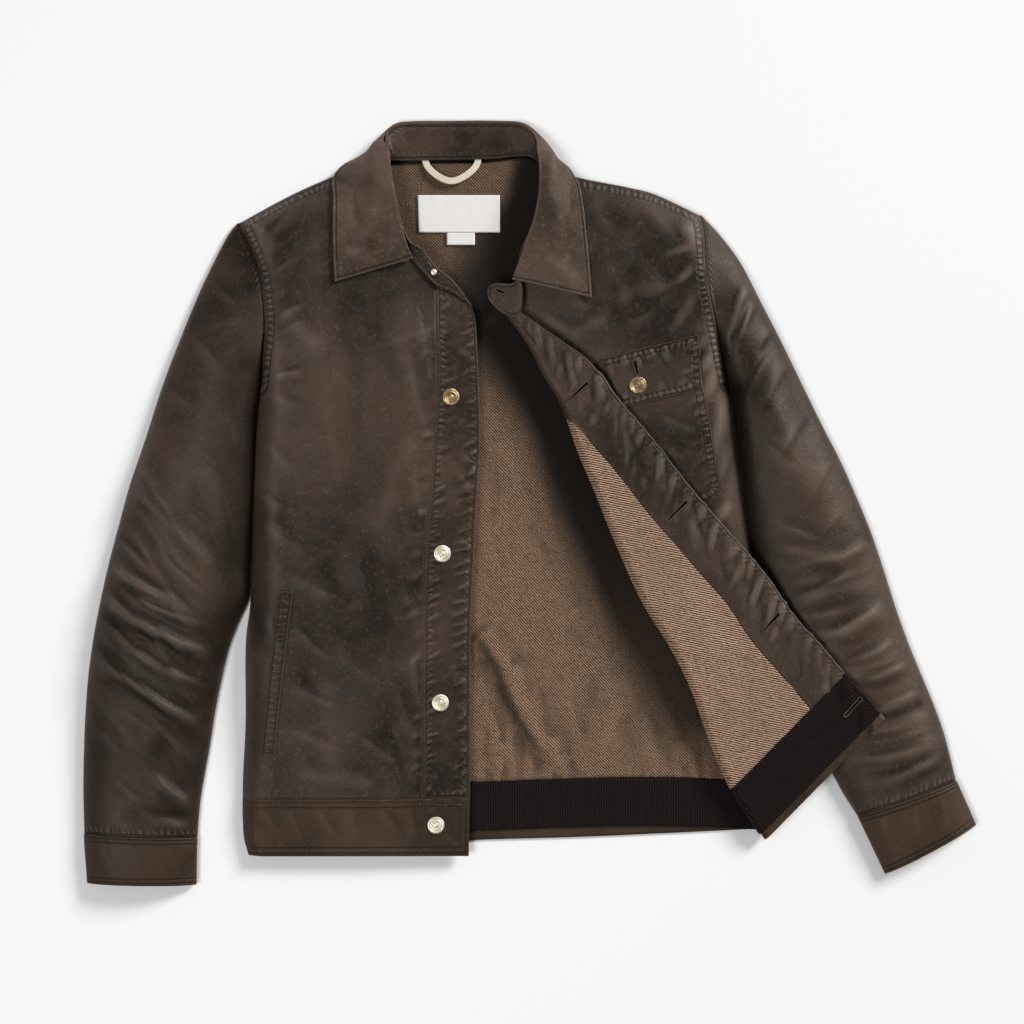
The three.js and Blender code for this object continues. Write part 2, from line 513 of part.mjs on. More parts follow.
// Sleeves and cuffs: rings across the sleeve, each from its outer edge to its inner edge, flat on the floor below
// and standing up to `height` above. `seam` says how far a ring still follows the armhole that it is sewn into.
const SLEEVE_EDGE = 4;
const CUFF_EDGE = 6;
const OVER = 12;
const UNDERSIDE = 4;
const SLEEVE_NAMES = "outX outY inX inY height seam";
const rightSleeve = table(SLEEVE_NAMES, [
  [-291, 279.8, -270.2, 116, 26, 1], [-303, 263, -271.6, 98, 28, 0.85], [-326, 217, -274.6, 68, 30, 0.6],
  [-347, 167, -276.6, 32, 32, 0.4], [-366, 117, -278, -2, 33, 0.25], [-383, 64, -279, -35, 33, 0.1],
  [-398, 20, -280, -66, 33, 0], [-409, -20, -282, -95, 33, 0], [-419, -58, -291, -122, 34, 0],
  [-428, -98, -300, -148, 34, 0], [-435, -135, -307, -178, 32, 0], [-440, -172, -313, -208, 30, 0],
  [-443, -212, -318, -240, 29, 0], [-444.5, -250, -323, -268, 27, 0], [-445, -288, -328, -298, 26, 0],
  [-444, -329, -331, -333, 24, 0],
]);
const rightCuff = table(SLEEVE_NAMES, [
  [-444.3, -329.5, -330.6, -333.5, 25, 0], [-443.5, -345, -331, -349, 24, 0],
  [-442, -364, -331.3, -367, 23, 0], [-441, -379, -331.5, -380.5, 22, 0],
]);
const leftSleeve = table(SLEEVE_NAMES, [
  [171.6, 287.6, 199.9, 118, 26, 1], [190, 268, 207.2, 96, 28, 0.85], [211, 240, 210.4, 76, 30, 0.6],
  [232, 200, 212.9, 52, 31, 0.4], [252, 161, 215.6, 26, 31, 0.25], [272, 120, 219, -2, 30, 0.1],
  [293, 77, 222.6, -32, 29, 0], [311, 42, 229, -60, 28, 0], [327, 6, 236.5, -90, 27, 0],
  [341, -28, 246, -120, 26, 0], [354, -66, 257, -150, 26, 0], [367, -107, 268, -180, 26, 0],
  [380, -143, 279, -210, 26, 0], [392, -172, 290, -239, 26, 0], [404, -201, 301, -266, 25, 0],
  [415, -232, 313, -289, 24, 0], [426, -276, 327, -311, 23, 0],
]);
const leftCuff = table(SLEEVE_NAMES, [
  [426.3, -276.6, 327.3, -311.6, 24, 0], [433, -291, 336, -330, 23, 0],
  [441, -309, 347, -353, 22, 0], [446, -321, 355, -370, 21, 0],
]);
const rightSleeveFolds = table(FOLD_NAMES, [
  [-415, -57, -329, -117, 9, 5], [-419, -97, -314, -157, 9, 5], [-424, -127, -329, -197, 9, 4.5],
  [-429, -157, -319, -227, 9, 4], [-374, -277, -331, -305, 9, 3.5], [-399, -307, -329, -312, 8, -3],
  [-289, 173, -282, 128, 10, -3], [-340, 200, -350, 60, 18, -4], [-380, 90, -395, -20, 14, 3],
  [-330, 20, -300, -90, 14, -3.5], [-440, -100, -400, -120, 7, -3], [-360, -230, -345, -300, 12, -3],
]);
const leftSleeveFolds = table(FOLD_NAMES, [
  [219, 221, 195, 158, 8, 5], [216, 203, 199, 153, 5, -4], [201, 103, 236, 163, 12, -4],
  [268, -103, 321, -77, 8, 4], [301, -139, 356, -107, 9, 4.5], [316, -172, 361, -152, 8, 4],
  [246, -43, 310, -58, 8, 3.5], [260, 140, 285, 60, 16, -1.2], [240, 100, 270, 10, 16, 1.4],
  [345, -215, 400, -200, 9, -3], [340, -262, 408, -236, 10, 3],
]);

function sleeveRing(row, armhole, folds, edge, thick) {
  const chord = straight(xy(row.outX, row.outY), xy(row.inX, row.inY));
  const seamChord = straight(armhole(0), armhole(1));
  const span = Math.hypot(row.inX - row.outX, row.inY - row.outY);
  const flat = (t) => {
    const [p, seam, straightSeam] = [chord(t), armhole(t), seamChord(t)];
    return xy(p.x + (seam.x - straightSeam.x) * row.seam, p.y + (seam.y - straightSeam.y) * row.seam);
  };
  const over = steps(OVER).map((t) => {
    const p = flat(t);
    const own = edge + (row.height - edge) * (1 - Math.abs(2 * t - 1) ** 2.4) ** 0.75;
    const wrinkle = folded(folds, p.x, p.y) * smoothstep(Math.min(t, 1 - t), 0, 0.16);
    return [t * span, lerp(own + wrinkle, armhole(t).z, row.seam ** 2)];
  });
  const under = steps(UNDERSIDE, 1, 0).map((t) => [lerp(edge, span - edge, t), 0]);
  const outline = [...over, ...under];
  const place = ([a, z]) => {
    const { x, y } = flat(a / span);
    return new THREE.Vector3(x, y, z);
  };
  const inside = outline.map((p, i) => {
    const before = outline[(i + outline.length - 1) % outline.length];
    const after = outline[(i + 1) % outline.length];
    const normal = (a, b) => {
      const size = Math.hypot(b[0] - a[0], b[1] - a[1]);
      return [(b[1] - a[1]) / size, -(b[0] - a[0]) / size];
    };
    const [m, n] = [normal(before, p), normal(p, after)];
    const both = [m[0] + n[0], m[1] + n[1]];
    const scale = (2 * thick) / Math.max(both[0] ** 2 + both[1] ** 2, 1.2);
    return [p[0] + both[0] * scale, p[1] + both[1] * scale];
  });
  return { outer: outline.map(place), inner: inside.map(place) };
}
const sleeveRings = (rows, armhole, folds, edge, thick, count) =>
  steps(count, 0, rows.length - 1).map((s) => sleeveRing(along(rows, s), armhole, folds, edge, thick));
const CUFF_WALL = 2;
for (const [side, rows, cuff, armhole, folds] of [
  ["right", rightSleeve, rightCuff, walker(rightArmhole), rightSleeveFolds],
  ["left", leftSleeve, leftCuff, walker(leftArmhole), leftSleeveFolds],
]) {
  jacket.add(tube("sleeve_" + side, waxed, sleeveRings(rows, armhole, folds, SLEEVE_EDGE, SHELL, 20)));
  jacket.add(tube("cuff_" + side, waxedBand, sleeveRings(cuff, armhole, [], CUFF_EDGE, CUFF_WALL, 2)));
}

// Collar: sections across the fall from the wearer's right point, round the back of the neck, to the left point.
// Each goes from the seam on the stand, over its brow, to its outer edge, and tuck says how far it is folded under.
const fall = table("seamX seamY seamZ browX browY browZ endX endY endZ tuck", [
  [-115, 242, 27, -134, 236, 29, -192, 218.5, 30.5, 0],
  [-121, 257, 29, -138, 253, 30.5, -193, 240, 29.5, 0],
  [-128, 280, 31, -143, 278, 31, -194, 270, 26.5, 0],
  [-133, 305, 31, -146, 304, 30, -194, 300, 20.5, 0],
  [-138, 332, 28, -151, 333, 26, -194, 326.5, 10.5, 0],
  [-140, 350, 23, -155, 355, 17, -176, 342, 1.6, 0.25],
  [-140, 361, 19, -148, 365.5, 11, -152, 328, 0, 0.9],
  [-133, 368, 14, -134.5, 377.5, 7.5, -133, 323, 0, 1],
  [-118, 369, 10.5, -118, 380.5, 5.5, -116, 321, 0, 1],
  [-75, 370, 9, -75, 381, 5, -75, 320, 0, 1],
  [-30, 370, 9, -30, 381, 5, -32, 321, 0, 1],
  [-9, 368, 12, -5, 378.5, 7, -12, 322, 0, 1],
  [3, 361, 17, 12, 365.5, 11, 12, 326, 0, 0.9],
  [9, 350, 22, 23, 350, 16, 34, 339, 1.6, 0.25],
  [11, 332, 27, 24, 333, 26, 48, 321, 10.5, 0],
  [10, 306, 31, 22, 306, 30, 53, 298, 20.5, 0],
  [5, 280, 31, 19, 279, 31, 56, 270, 26.5, 0],
  [-5, 253, 29.5, 12, 250, 30.5, 59, 240, 29.5, 0],
  [-17, 221, 27, 2, 217, 29, 62, 203, 30, 0],
]);
const TURN_IN = 0.09;
const NECK_MIDDLE = -65;
const LEAF_EASE = 1.2; // the points of the collar lie on the chest, a little off it
function fallAt(u, s) {
  const r = along(fall, s);
  const brow = [r.browX, r.browY, r.browZ];
  const end = [r.endX, r.endY, Math.max(r.endZ, 0)];
  const loose = brow.map((b, i) => lerp(b, end[i], 0.5));
  const under = [lerp(brow[0], end[0], TURN_IN), lerp(brow[1], end[1], TURN_IN), 0];
  const turn = loose.map((b, i) => lerp(b, under[i], clamp(r.tuck, 0, 1)));
  const points = [[r.seamX, r.seamY, r.seamZ], brow, turn, end].map(([x, y, z]) => ({ x, y, z }));
  const p = along(points, u * (points.length - 1));
  const chest = (p.x < NECK_MIDDLE ? rightTop : leftTop)(p.x, p.y) + SHELL + LEAF_EASE;
  return new THREE.Vector3(p.x, p.y, Math.max(p.z, lerp(chest, 0, smoothstep(r.tuck, 0, 0.1))));
}
jacket.add(wall("collar_fall", waxed, steps(9), steps(36, 0, fall.length - 1), fallAt, -SHELL, 0, -1));

// Stand: from its seam on the neck up to the fall, with an end on the right front and a buttonholed tab on the left
const stand = table("neckX neckY neckZ topX topY topZ", [
  [-64, 202, 14.5, -57, 196, 15], [-78, 211, 15.6, -74, 219, 16.6], [-94, 217.5, 18.2, -93, 235, 20],
  [-110, 237, 22, -107, 252, 24.5], [-121, 254, 23.6, -117, 259, 27], [-130, 275, 23, -125, 279, 29],
  [-140, 300, 18.4, -130.5, 304, 29], [-146, 324, 13, -135.5, 331, 26], [-144, 339, 9.8, -137.5, 349, 21],
  [-137, 344, 9, -136.5, 359, 17], [-124, 344.5, 8.4, -128, 366, 12.4], [-100, 345, 8.2, -102, 368.4, 9.4],
  [-73, 345.4, 8.2, -73, 369.4, 8.8], [-36, 346.5, 8.2, -36, 369.4, 8.8], [-12, 349.5, 8.4, -12, 366, 11.6],
  [2, 349, 9, 0.6, 359, 17], [12, 339, 9.8, 6.6, 349, 21], [17, 318, 13.4, 8.6, 331, 26],
  [14, 293, 19, 7.6, 304, 29], [6, 268, 23.4, 2.4, 279, 29], [-5, 243, 23.6, -8.5, 253, 27.4],
  [-11, 219, 20.6, -27, 229, 24], [-22, 195, 17, -42, 213, 19.5],
]);
function standAt(u, s) {
  const r = along(stand, s);
  return new THREE.Vector3(lerp(r.neckX, r.topX, u), lerp(r.neckY, r.topY, u), lerp(r.neckZ, r.topZ, u));
}
jacket.add(wall("collar_stand", waxed, steps(2), steps(36, 0, stand.length - 1), standAt, -SHELL, 0, 1));

// Inside the neck: hanger loop, a bare white label and its blank size tab
const TAPE = 6.5;
const loopLine = trace(table("x y z", [
  [-104, 343.8, 8.2], [-101, 335, 8.6], [-90, 325, 9.6], [-77, 320.5, 10], [-64, 325.5, 9.6], [-53, 335.5, 8.6],
  [-50, 345, 8.2],
]));
const loopAt = walker(loopLine);
function tapeAt(u, t) {
  const [p, a, b] = [loopAt(t), loopAt(t - 0.02), loopAt(t + 0.02)];
  const size = Math.hypot(b.x - a.x, b.y - a.y);
  const aside = (u - 0.5) * TAPE;
  return new THREE.Vector3(p.x - ((b.y - a.y) / size) * aside, p.y + ((b.x - a.x) / size) * aside, p.z);
}
jacket.add(wall("hanger_loop", tape, steps(2), steps(18), tapeAt, -LINING, 0, 1));
const patch = (a, b, c, d) => plan(straight(a, b), straight(c, d), straight(a, c), straight(b, d));
const labelFlat = patch(xy(-111, 307), xy(-29, 307), xy(-110, 270), xy(-29, 270));
jacket.add(wall("label", satin, steps(4), steps(2), lying(labelFlat, liningTop), EASE, EASE + 1));
const tabFlat = patch(xy(-82, 269.6), xy(-54, 269.6), xy(-82, 257.5), xy(-54, 257.5));
jacket.add(wall("size_tab", satin, steps(2), steps(1), lying(tabFlat, liningTop), EASE + 0.4, EASE + 1.4));

// Buttons: tack buttons with a ringed rim round a hollow, and a post through the cloth
const BUTTON = { radius: 8.5, post: 3, height: 3.4, rim: 1.5, well: 4.6, rivet: 2 };
function button(name, metal, x, y, top, size = 1) {
  const { radius, post, height, rim, well, rivet } = BUTTON;
  const profile = [
    [0, 0], [post, 0], [post, 1], [radius, 1.2], [radius, height - 0.8], [radius - rim, height],
    [well, height], [well - 0.8, height - 1.2], [rivet, height - 1.2], [0, height - 0.4],
  ].map(([r, z]) => new THREE.Vector2(r * size, z * size));
  const geometry = new THREE.LatheGeometry(profile, 12).rotateX(Math.PI / 2);
  const mesh = new THREE.Mesh(geometry, new THREE.MeshStandardMaterial(metal));
  const slope = new THREE.Vector3(top(x - 4, y) - top(x + 4, y), top(x, y - 4) - top(x, y + 4), 8).normalize();
  mesh.quaternion.setFromUnitVectors(new THREE.Vector3(0, 0, 1), slope);
  mesh.position.set(x, y, top(x, y)).addScaledVector(slope, SEAM);
  mesh.name = name;
  return mesh;
}
const placketButtons = [[-77.7, 105.4], [-86.3, -50.4], [-88.2, -198.5], [-92.6, -320.3]];
placketButtons.forEach(([x, y], i) => {
  jacket.add(button("button_" + (i + 1), i ? paleBrass : oldBrass, x, y, placketTop));
});
const onFlap = (x, y) => leftTop(x, y) + ON_POCKET + LINING;
jacket.add(button("button_pocket", oldBrass, 107.5, 116.4, onFlap));
const standTop = (x, y) => placketTop(x, y) + 4;
jacket.add(button("button_neck", paleBrass, -94.5, 229, standTop, 0.35));

export default jacket;
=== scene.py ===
import bpy
import numpy as np
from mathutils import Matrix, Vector


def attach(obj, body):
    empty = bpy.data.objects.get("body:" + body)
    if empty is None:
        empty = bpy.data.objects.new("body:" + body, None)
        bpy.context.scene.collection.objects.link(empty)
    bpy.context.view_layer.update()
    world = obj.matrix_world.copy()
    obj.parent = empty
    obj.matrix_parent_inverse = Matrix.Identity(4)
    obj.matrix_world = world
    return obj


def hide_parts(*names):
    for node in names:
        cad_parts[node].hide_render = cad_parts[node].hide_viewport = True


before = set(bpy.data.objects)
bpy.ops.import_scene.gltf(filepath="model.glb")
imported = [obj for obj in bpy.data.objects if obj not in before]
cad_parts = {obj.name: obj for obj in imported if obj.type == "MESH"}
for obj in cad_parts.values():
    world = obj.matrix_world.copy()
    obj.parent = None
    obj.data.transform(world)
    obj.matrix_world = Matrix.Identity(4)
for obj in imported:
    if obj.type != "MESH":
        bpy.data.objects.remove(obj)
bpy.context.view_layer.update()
bpy.ops.object.select_all(action="DESELECT")

# Back panel
# The back is one panel of waxed cotton canvas, which lies flat on the surface below everything else. It
# is lifted a little at the neck, where the collar is folded under it, and is joined to the fronts at the
# shoulder seams, armholes and side seams.

MM = 0.001
# In mm: the walls of single canvas, doubled canvas and lining, the gap at a seam, and the placket's rise
SHELL = 1.5
BAND = 2.2
LINING = 1.2
SEAM = 0.3
PROUD = 0.4
BACK_TOP = SHELL
LINING_TOP = BACK_TOP + SEAM + LINING
HEM_SEAM = -294
NO_ROW = 9999
FINE = 8


def table(names, rows):
    return {name: np.array(column, float) for name, column in zip(names.split(), zip(*rows))}


def lerp(a, b, t):
    return a + (b - a) * t


def smoothstep(x, low, high):
    t = np.clip((x - low) / (high - low), 0, 1)
    return t * t * (3 - 2 * t)


def catmull(a, b, c, d, f):
    """A smooth curve from b to c, given the values before and after them."""
    bend = (2 * a - 5 * b + 4 * c - d) * f * f
    return 0.5 * (2 * b + (c - a) * f + bend + (3 * b - a - 3 * c + d) * f**3)


def along(rows, s):
    """Every column of a table at fractional rows, on a smooth curve."""
    s = np.asarray(s, float)
    last = len(next(iter(rows.values()))) - 1
    i = np.clip(np.floor(s).astype(int), 0, last - 1)
    return {
        name: catmull(*(column[np.clip(i + k, 0, last)] for k in (-1, 0, 1, 2)), s - i)
        for name, column in rows.items()
    }


def trace(rows):
    last = len(next(iter(rows.values()))) - 1
    return along(rows, np.arange(last * FINE + 1) / FINE)


def drawn(names, rows):
    """A smooth line through the rows of a table."""
    return trace(table(names, rows))


def joined(*lines):
    names = set.intersection(*(set(line) for line in lines))
    return {name: np.concatenate([line[name] for line in lines]) for name in names}


def shifted_line(line, dx):
    return {**line, "x": line["x"] + dx}


def backwards(line):
    return {name: column[::-1] for name, column in line.items()}


def lengths(line):
    return np.concatenate([[0], np.cumsum(np.hypot(np.diff(line["x"]), np.diff(line["y"])))])


def walker(line):
    """Walks a seam evenly by its length, t from 0 to 1."""
    reach = lengths(line)

    def at(t):
        here = np.clip(t, 0, 1) * reach[-1]
        return {name: np.interp(here, reach, column) for name, column in line.items()}
    return at


def nearest(line, x, y):
    """The nearest point of a seam, with its columns, its distance and how far along the seam it is."""
    x, y = np.broadcast_arrays(np.asarray(x, float), np.asarray(y, float))
    distance = np.full(x.shape, np.inf)
    position = np.zeros(x.shape)
    for i in range(len(line["x"]) - 1):
        ax, ay = line["x"][i], line["y"][i]
        dx, dy = line["x"][i + 1] - ax, line["y"][i + 1] - ay
        square = dx * dx + dy * dy
        if square == 0:
            continue
        t = np.clip(((x - ax) * dx + (y - ay) * dy) / square, 0, 1)
        away = np.hypot(x - ax - dx * t, y - ay - dy * t)
        closer = away < distance
        distance = np.where(closer, away, distance)
        position = np.where(closer, i + t, position)
    rows = np.arange(len(line["x"]))
    found = {name: np.interp(position, rows, column) for name, column in line.items()}
    return {**found, "distance": distance, "run": np.interp(position, rows, lengths(line))}


def nearest_to(line, grid):
    return nearest(line, grid[..., 0], grid[..., 1])


def folded(folds, x, y):
    """Soft ridges, or troughs where the height is negative, each along a run that dies out at its ends."""
    total = np.zeros(np.shape(x))
    for x1, y1, x2, y2, width, height in folds:
        dx, dy = x2 - x1, y2 - y1
        run = ((x - x1) * dx + (y - y1) * dy) / (dx * dx + dy * dy)
        aside = np.hypot(x - x1 - dx * run, y - y1 - dy * run) / width
        ends = smoothstep(run, -0.2, 0.25) * (1 - smoothstep(run, 0.75, 1.2))
        total = total + height * ends * np.exp(-aside * aside)
    return total


def creased(creases, x, y):
    """Creases with one steep side and one soft side, as waxed cloth breaks."""
    x, y = np.asarray(x, dtype=float), np.asarray(y, dtype=float)
    total = np.zeros(x.shape)
    for x1, y1, x2, y2, width, height in creases:
        reach = 0.3 * np.hypot(x2 - x1, y2 - y1) + 6 * width
        near = (x > min(x1, x2) - reach) & (x < max(x1, x2) + reach)
        near &= (y > min(y1, y2) - reach) & (y < max(y1, y2) + reach)
        if not near.any():
            continue
        dx, dy, px, py = x2 - x1, y2 - y1, x[near] - x1, y[near] - y1
        long = np.hypot(dx, dy)
        run = (px * dx + py * dy) / long**2
        aside = (px * dy - py * dx) / long + 0.09 * long * (run - 0.5) ** 2
        side = np.where(aside > 0, aside / (1.7 * width), aside / (0.75 * width))
        ends = smoothstep(run, -0.12, 0.35) * (1 - smoothstep(run, 0.6, 1.15))
        total[near] += height * ends * (np.exp(-side * side) - 0.35 * np.exp(-((side - 1.6) ** 2)))
    return total


def gathers(line, aside, count, length, slant, width, height, seed):
    """Short uneven creases that start beside a seam and run away from it on the slant."""
    path = walker(line)
    made = []
    for k in range(count):
        chance = [hashed(k, j, seed) for j in range(5)]
        t = np.array([(k + 0.15 + 0.7 * chance[0]) / count])
        here, after = path(t), path(t + 0.004)
        way = np.array([after["x"][0] - here["x"][0], after["y"][0] - here["y"][0]])
        way = way / max(np.hypot(*way), 1e-9)
        across = np.array([-way[1], way[0]]) * np.sign(aside)
        start = np.array([here["x"][0], here["y"][0]]) + across * abs(aside)
        end = start + (across + way * slant * (0.4 + 1.2 * chance[1])) * length * (0.5 + 0.9 * chance[2])
        size = height * (0.45 + 0.9 * chance[3]) * (1 if chance[4] > 0.3 else -0.8)
        made.append((*start, *end, width * (0.7 + 0.6 * chance[1]), size))
    return made


def hashed(i, j, seed):
    return np.modf(np.abs(np.sin(i * 127.1 + j * 311.7 + seed * 74.7) * 43758.5453))[0]


def grain(x, y, size, seed):
    """Smooth uneven relief of one size, from 0 to 1, the same at each run."""
    i, j = np.floor(x / size), np.floor(y / size)
    f, g = smoothstep(x / size - i, 0, 1), smoothstep(y / size - j, 0, 1)
    low = lerp(hashed(i, j, seed), hashed(i + 1, j, seed), f)
    high = lerp(hashed(i, j + 1, seed), hashed(i + 1, j + 1, seed), f)
    return lerp(low, high, g)


def crumpled(x, y, size, height, seed):
    """Faint broken creases all over waxed cloth, larger ones and smaller ones."""
    u, v = x * 0.83 + y * 0.56, y * 0.83 - x * 0.56
    large = 1 - np.abs(2 * grain(x, y, size, seed) - 1)
    small = 1 - np.abs(2 * grain(u, v, size * 0.41, seed + 1) - 1)
    return height * (large**2 - 0.4 + 0.35 * (small**2 - 0.4))


def puckered(run, distance, pitch, reach, height, seed):
    """Uneven gathers that stand square to a seam and fade away from it."""
    wander = 2.2 * np.sin(run / (pitch * 2.7) + seed)
    wander = wander + 0.06 * distance * np.sin(run / (pitch * 5.1) + 2 * seed)
    strength = 0.45 + 0.55 * np.sin(run / (pitch * 1.9) + 3.1 * seed)
    return height * strength * np.sin(2 * np.pi * run / pitch + wander) * np.exp(-distance / reach)


RIM = "x y z roll"
right_placket_top = drawn(RIM, [[-66, 206, 11.5, 18], [-80, 211, 12.5, 16], [-92, 216, 14, 16]])
right_neck = drawn(RIM, [
    [-92, 216, 14, 16], [-112, 238, 18.5, 16], [-124, 256, 20, 16], [-132, 275, 19.5, 18],
    [-143, 300, 15, 20], [-150, 322, 10, 24], [-158, 337, 6.2, 28],
])
right_shoulder = drawn(RIM, [
    [-158, 337, 6.2, 28], [-194, 326, 5.6, 34], [-240, 306, 4, 34], [-290, 279, 3.3, 30],
])
right_armhole = drawn(RIM, [
    [-290, 279, 3.3, 30], [-280, 260, 9, 24], [-269, 232, 18, 24], [-263.6, 203, 24, 24],
    [-262, 174, 24, 24], [-264.5, 148, 17, 24], [-267, 130, 8, 26], [-269, 117, 3.3, 30],
])
right_side = drawn(RIM, [
    [-269, 117, 3.3, 30], [-274, 60, 3.3, 38], [-277, -17, 3.3, 40], [-278, -95, 3.3, 40],
    [-283, -141, 3.3, 40], [-283, -215, 3.3, 38], [-285.5, -270, 3.3, 34], [-286, HEM_SEAM, 3.3, 30],
])
left_neck = drawn(RIM, [
    [-17, 197, 15, 14], [-8, 212, 17, 16], [0, 240, 20, 16], [9, 266, 20, 18], [17, 290, 16.5, 20],
    [22, 318, 10.5, 24], [24, 336, 6.2, 28],
])
left_shoulder = drawn(RIM, [
    [24, 336, 6.2, 28], [49, 325, 5.8, 30], [99, 315, 4.4, 34], [128, 307.5, 3.8, 34], [171, 287, 3.3, 30],
])
left_armhole = drawn(RIM, [
    [171, 287, 3.3, 30], [174.5, 270, 9, 24], [175.5, 250, 17, 24], [177, 220, 24, 24],
    [182, 191, 25, 24], [189, 162, 19, 24], [195, 136, 9, 26], [199, 119, 3.3, 30],
])
left_side = drawn(RIM, [
    [199, 119, 3.3, 30], [206.5, 94, 3.3, 36], [212, 44, 3.3, 40], [218, -8, 3.3, 40], [224, -61, 3.3, 40],
    [229, -130, 3.3, 34], [233, -197, 3.3, 28], [238, -277, 3.3, 18],
])


def plan(top, bottom, left, right):
    """A panel's plan between its four seams."""
    def at(u, v):
        u, v = np.broadcast_arrays(u, v)
        ends = [(path(np.zeros(1)), path(np.ones(1))) for path in (top, bottom)]
        found = []
        for key in "xy":
            a, b, c, d = (point[key][0] for pair in ends for point in pair)
            level = lerp(top(u)[key], bottom(u)[key], v)
            upright = lerp(left(v)[key], right(v)[key], u)
            found.append(level + upright - lerp(lerp(a, b, u), lerp(c, d, u), v))
        return found
    return at


def straight(a, b):
    return lambda t: {"x": lerp(a[0], b[0], t), "y": lerp(a[1], b[1], t)}


def shifted(path, dx, dy=0):
    return lambda t: {"x": path(t)["x"] + dx, "y": path(t)["y"] + dy}


def steps(count, low=0, high=1):
    return np.linspace(low, high, count + 1)


def lying(flat, height, us, vs):
    """A grid of points over a plan, at a height that depends on where they are."""
    x, y = flat(us[None, :], vs[:, None])
    return np.stack([x, y, height(x, y)], -1)


def blurred(grid, count, ring):
    """The grid with each point moved to the middle of its neighbours, a number of times."""
    for _ in range(count):
        if ring:
            wide = np.concatenate([grid[:, -1:], grid, grid[:, :1]], 1)
        else:
            wide = np.pad(grid, ((0, 0), (1, 1), (0, 0)), "edge")
        grid = (wide[:, :-2] + 2 * wide[:, 1:-1] + wide[:, 2:]) / 4
        tall = np.pad(grid, ((1, 1), (0, 0), (0, 0)), "edge")
        grid = (tall[:-2] + 2 * tall[1:-1] + tall[2:]) / 4
    return grid


def normals_of(grid, ring=False):
    if ring:
        wide = np.concatenate([grid[:, -1:], grid, grid[:, :1]], 1)
        across = (wide[:, 2:] - wide[:, :-2]) / 2
    else:
        across = np.gradient(grid, axis=1)
    normals = np.cross(across, np.gradient(grid, axis=0))
    return normals / np.maximum(np.linalg.norm(normals, axis=-1, keepdims=True), 1e-9)


def measured(grid, ring=False):
    """Lengths across and down the cloth at each point, how far the nearest rim is and the run along it."""
    over = np.linalg.norm(np.diff(grid, axis=1), axis=-1)
    down = np.linalg.norm(np.diff(grid, axis=0), axis=-1)
    u = np.concatenate([np.zeros((len(grid), 1)), np.cumsum(over, 1)], 1)
    v = np.concatenate([np.zeros((1, grid.shape[1])), np.cumsum(down, 0)], 0)
    rim, along_rim = np.minimum(v, v[-1:] - v), u
    if not ring:
        side = np.minimum(u, u[:, -1:] - u)
        along_rim = np.where(side < rim, v, u)
        rim = np.minimum(rim, side)
    return u, v, rim, along_rim


def placed(name, mesh, finish=None):
    """A new object of a mesh, at the origin and unturned."""
    made = bpy.data.objects.new(name, mesh)
    bpy.context.scene.collection.objects.link(made)
    if finish:
        mesh.materials.append(finish)
    return made


def wall(name, grid, back, face, up=-1, ring=False, keep=None, lay=None, shown=1,
         sewn=(NO_ROW, NO_ROW), beside=None, run=None, pucker=1.0, shade_and_darkening=0.0):
    """A closed wall of cloth over a grid of points, from back to face along its normal. It keeps the lie of
    the cloth as a UV map, and for each point how far it stands out of its surroundings, how near the rim is,
    and how far the two rows of stitching are, which run at the distances in sewn from the rim or seam."""
    normals = normals_of(grid, ring) * up
    u, v, rim, along_rim = measured(grid, ring)
    crest = ((grid - blurred(grid, 6, ring)) * normals).sum(-1) * shown
    lay = np.stack([u, v], -1) if lay is None else lay
    rows, columns = grid.shape[:2]
    index = np.arange(rows * columns).reshape(rows, columns)
    after = np.roll(index, -1, 1) if ring else index[:, 1:]
    first = index if ring else index[:, :-1]
    quads = np.stack([first[:-1], after[:-1], after[1:], first[1:]], -1)
    quads = quads.reshape(-1, 4) if keep is None else quads[keep]
    total = rows * columns
    edges = np.concatenate([quads[:, [k, (k + 1) % 4]] for k in range(4)])
    open_edges = edges[~np.isin(edges[:, 0] * total + edges[:, 1], edges[:, 1] * total + edges[:, 0])]
    starts, ends = open_edges.T
    sides = np.stack([ends, starts, starts + total, ends + total], -1)
    faces = np.concatenate([quads, quads[:, ::-1] + total, sides])
    points = np.concatenate([(grid + normals * level).reshape(-1, 3) for level in (face, back)]) * MM
    # Nothing goes below the surface that the jacket lies on
    points[:, 2] = np.maximum(points[:, 2], 0)
    used, faces = np.unique(faces, return_inverse=True)
    faces = faces.reshape(-1, 4)
    points = points[used]
    corner = points[faces]
    volume = np.einsum("ij,ij->i", corner[:, 0], np.cross(corner[:, 1], corner[:, 2])).sum()
    volume += np.einsum("ij,ij->i", corner[:, 0], np.cross(corner[:, 2], corner[:, 3])).sum()
    faces = faces[:, ::-1] if volume < 0 else faces
    mesh = bpy.data.meshes.new(name)
    mesh.from_pydata(points.tolist(), [], faces.tolist())
    mesh.polygons.foreach_set("use_smooth", np.ones(len(faces), bool))
    plain = used % total
    cloth = mesh.uv_layers.new(name="cloth")
    cloth.data.foreach_set("uv", (lay.reshape(-1, 2)[plain][faces.reshape(-1)] * MM).reshape(-1))
    beside, run = (rim, along_rim) if beside is None else (beside, v if run is None else run)
    # The stored darkening is painted shade, and on the right sleeve and cuff also a darker colour towards
    # the cuff
    kept = {"crest": crest, "rim": rim, "run": run, "row_one": beside - sewn[0], "row_two": beside - sewn[1],
            "pucker": pucker, "shade_and_darkening": shade_and_darkening}
    for kind, values in kept.items():
        layer = mesh.attributes.new(kind, "FLOAT", "POINT")
        layer.data.foreach_set("value", np.broadcast_to(values, rim.shape).reshape(-1)[plain].astype(float))
    return placed(name, mesh)


def linear(hex_colour):
    """An sRGB colour such as 3a3028 as the linear colour that a shader takes."""
    values = [int(hex_colour[i:i + 2], 16) / 255 for i in (0, 2, 4)]
    return [v / 12.92 if v <= 0.04045 else ((v + 0.055) / 1.055) ** 2.4 for v in values] + [1]


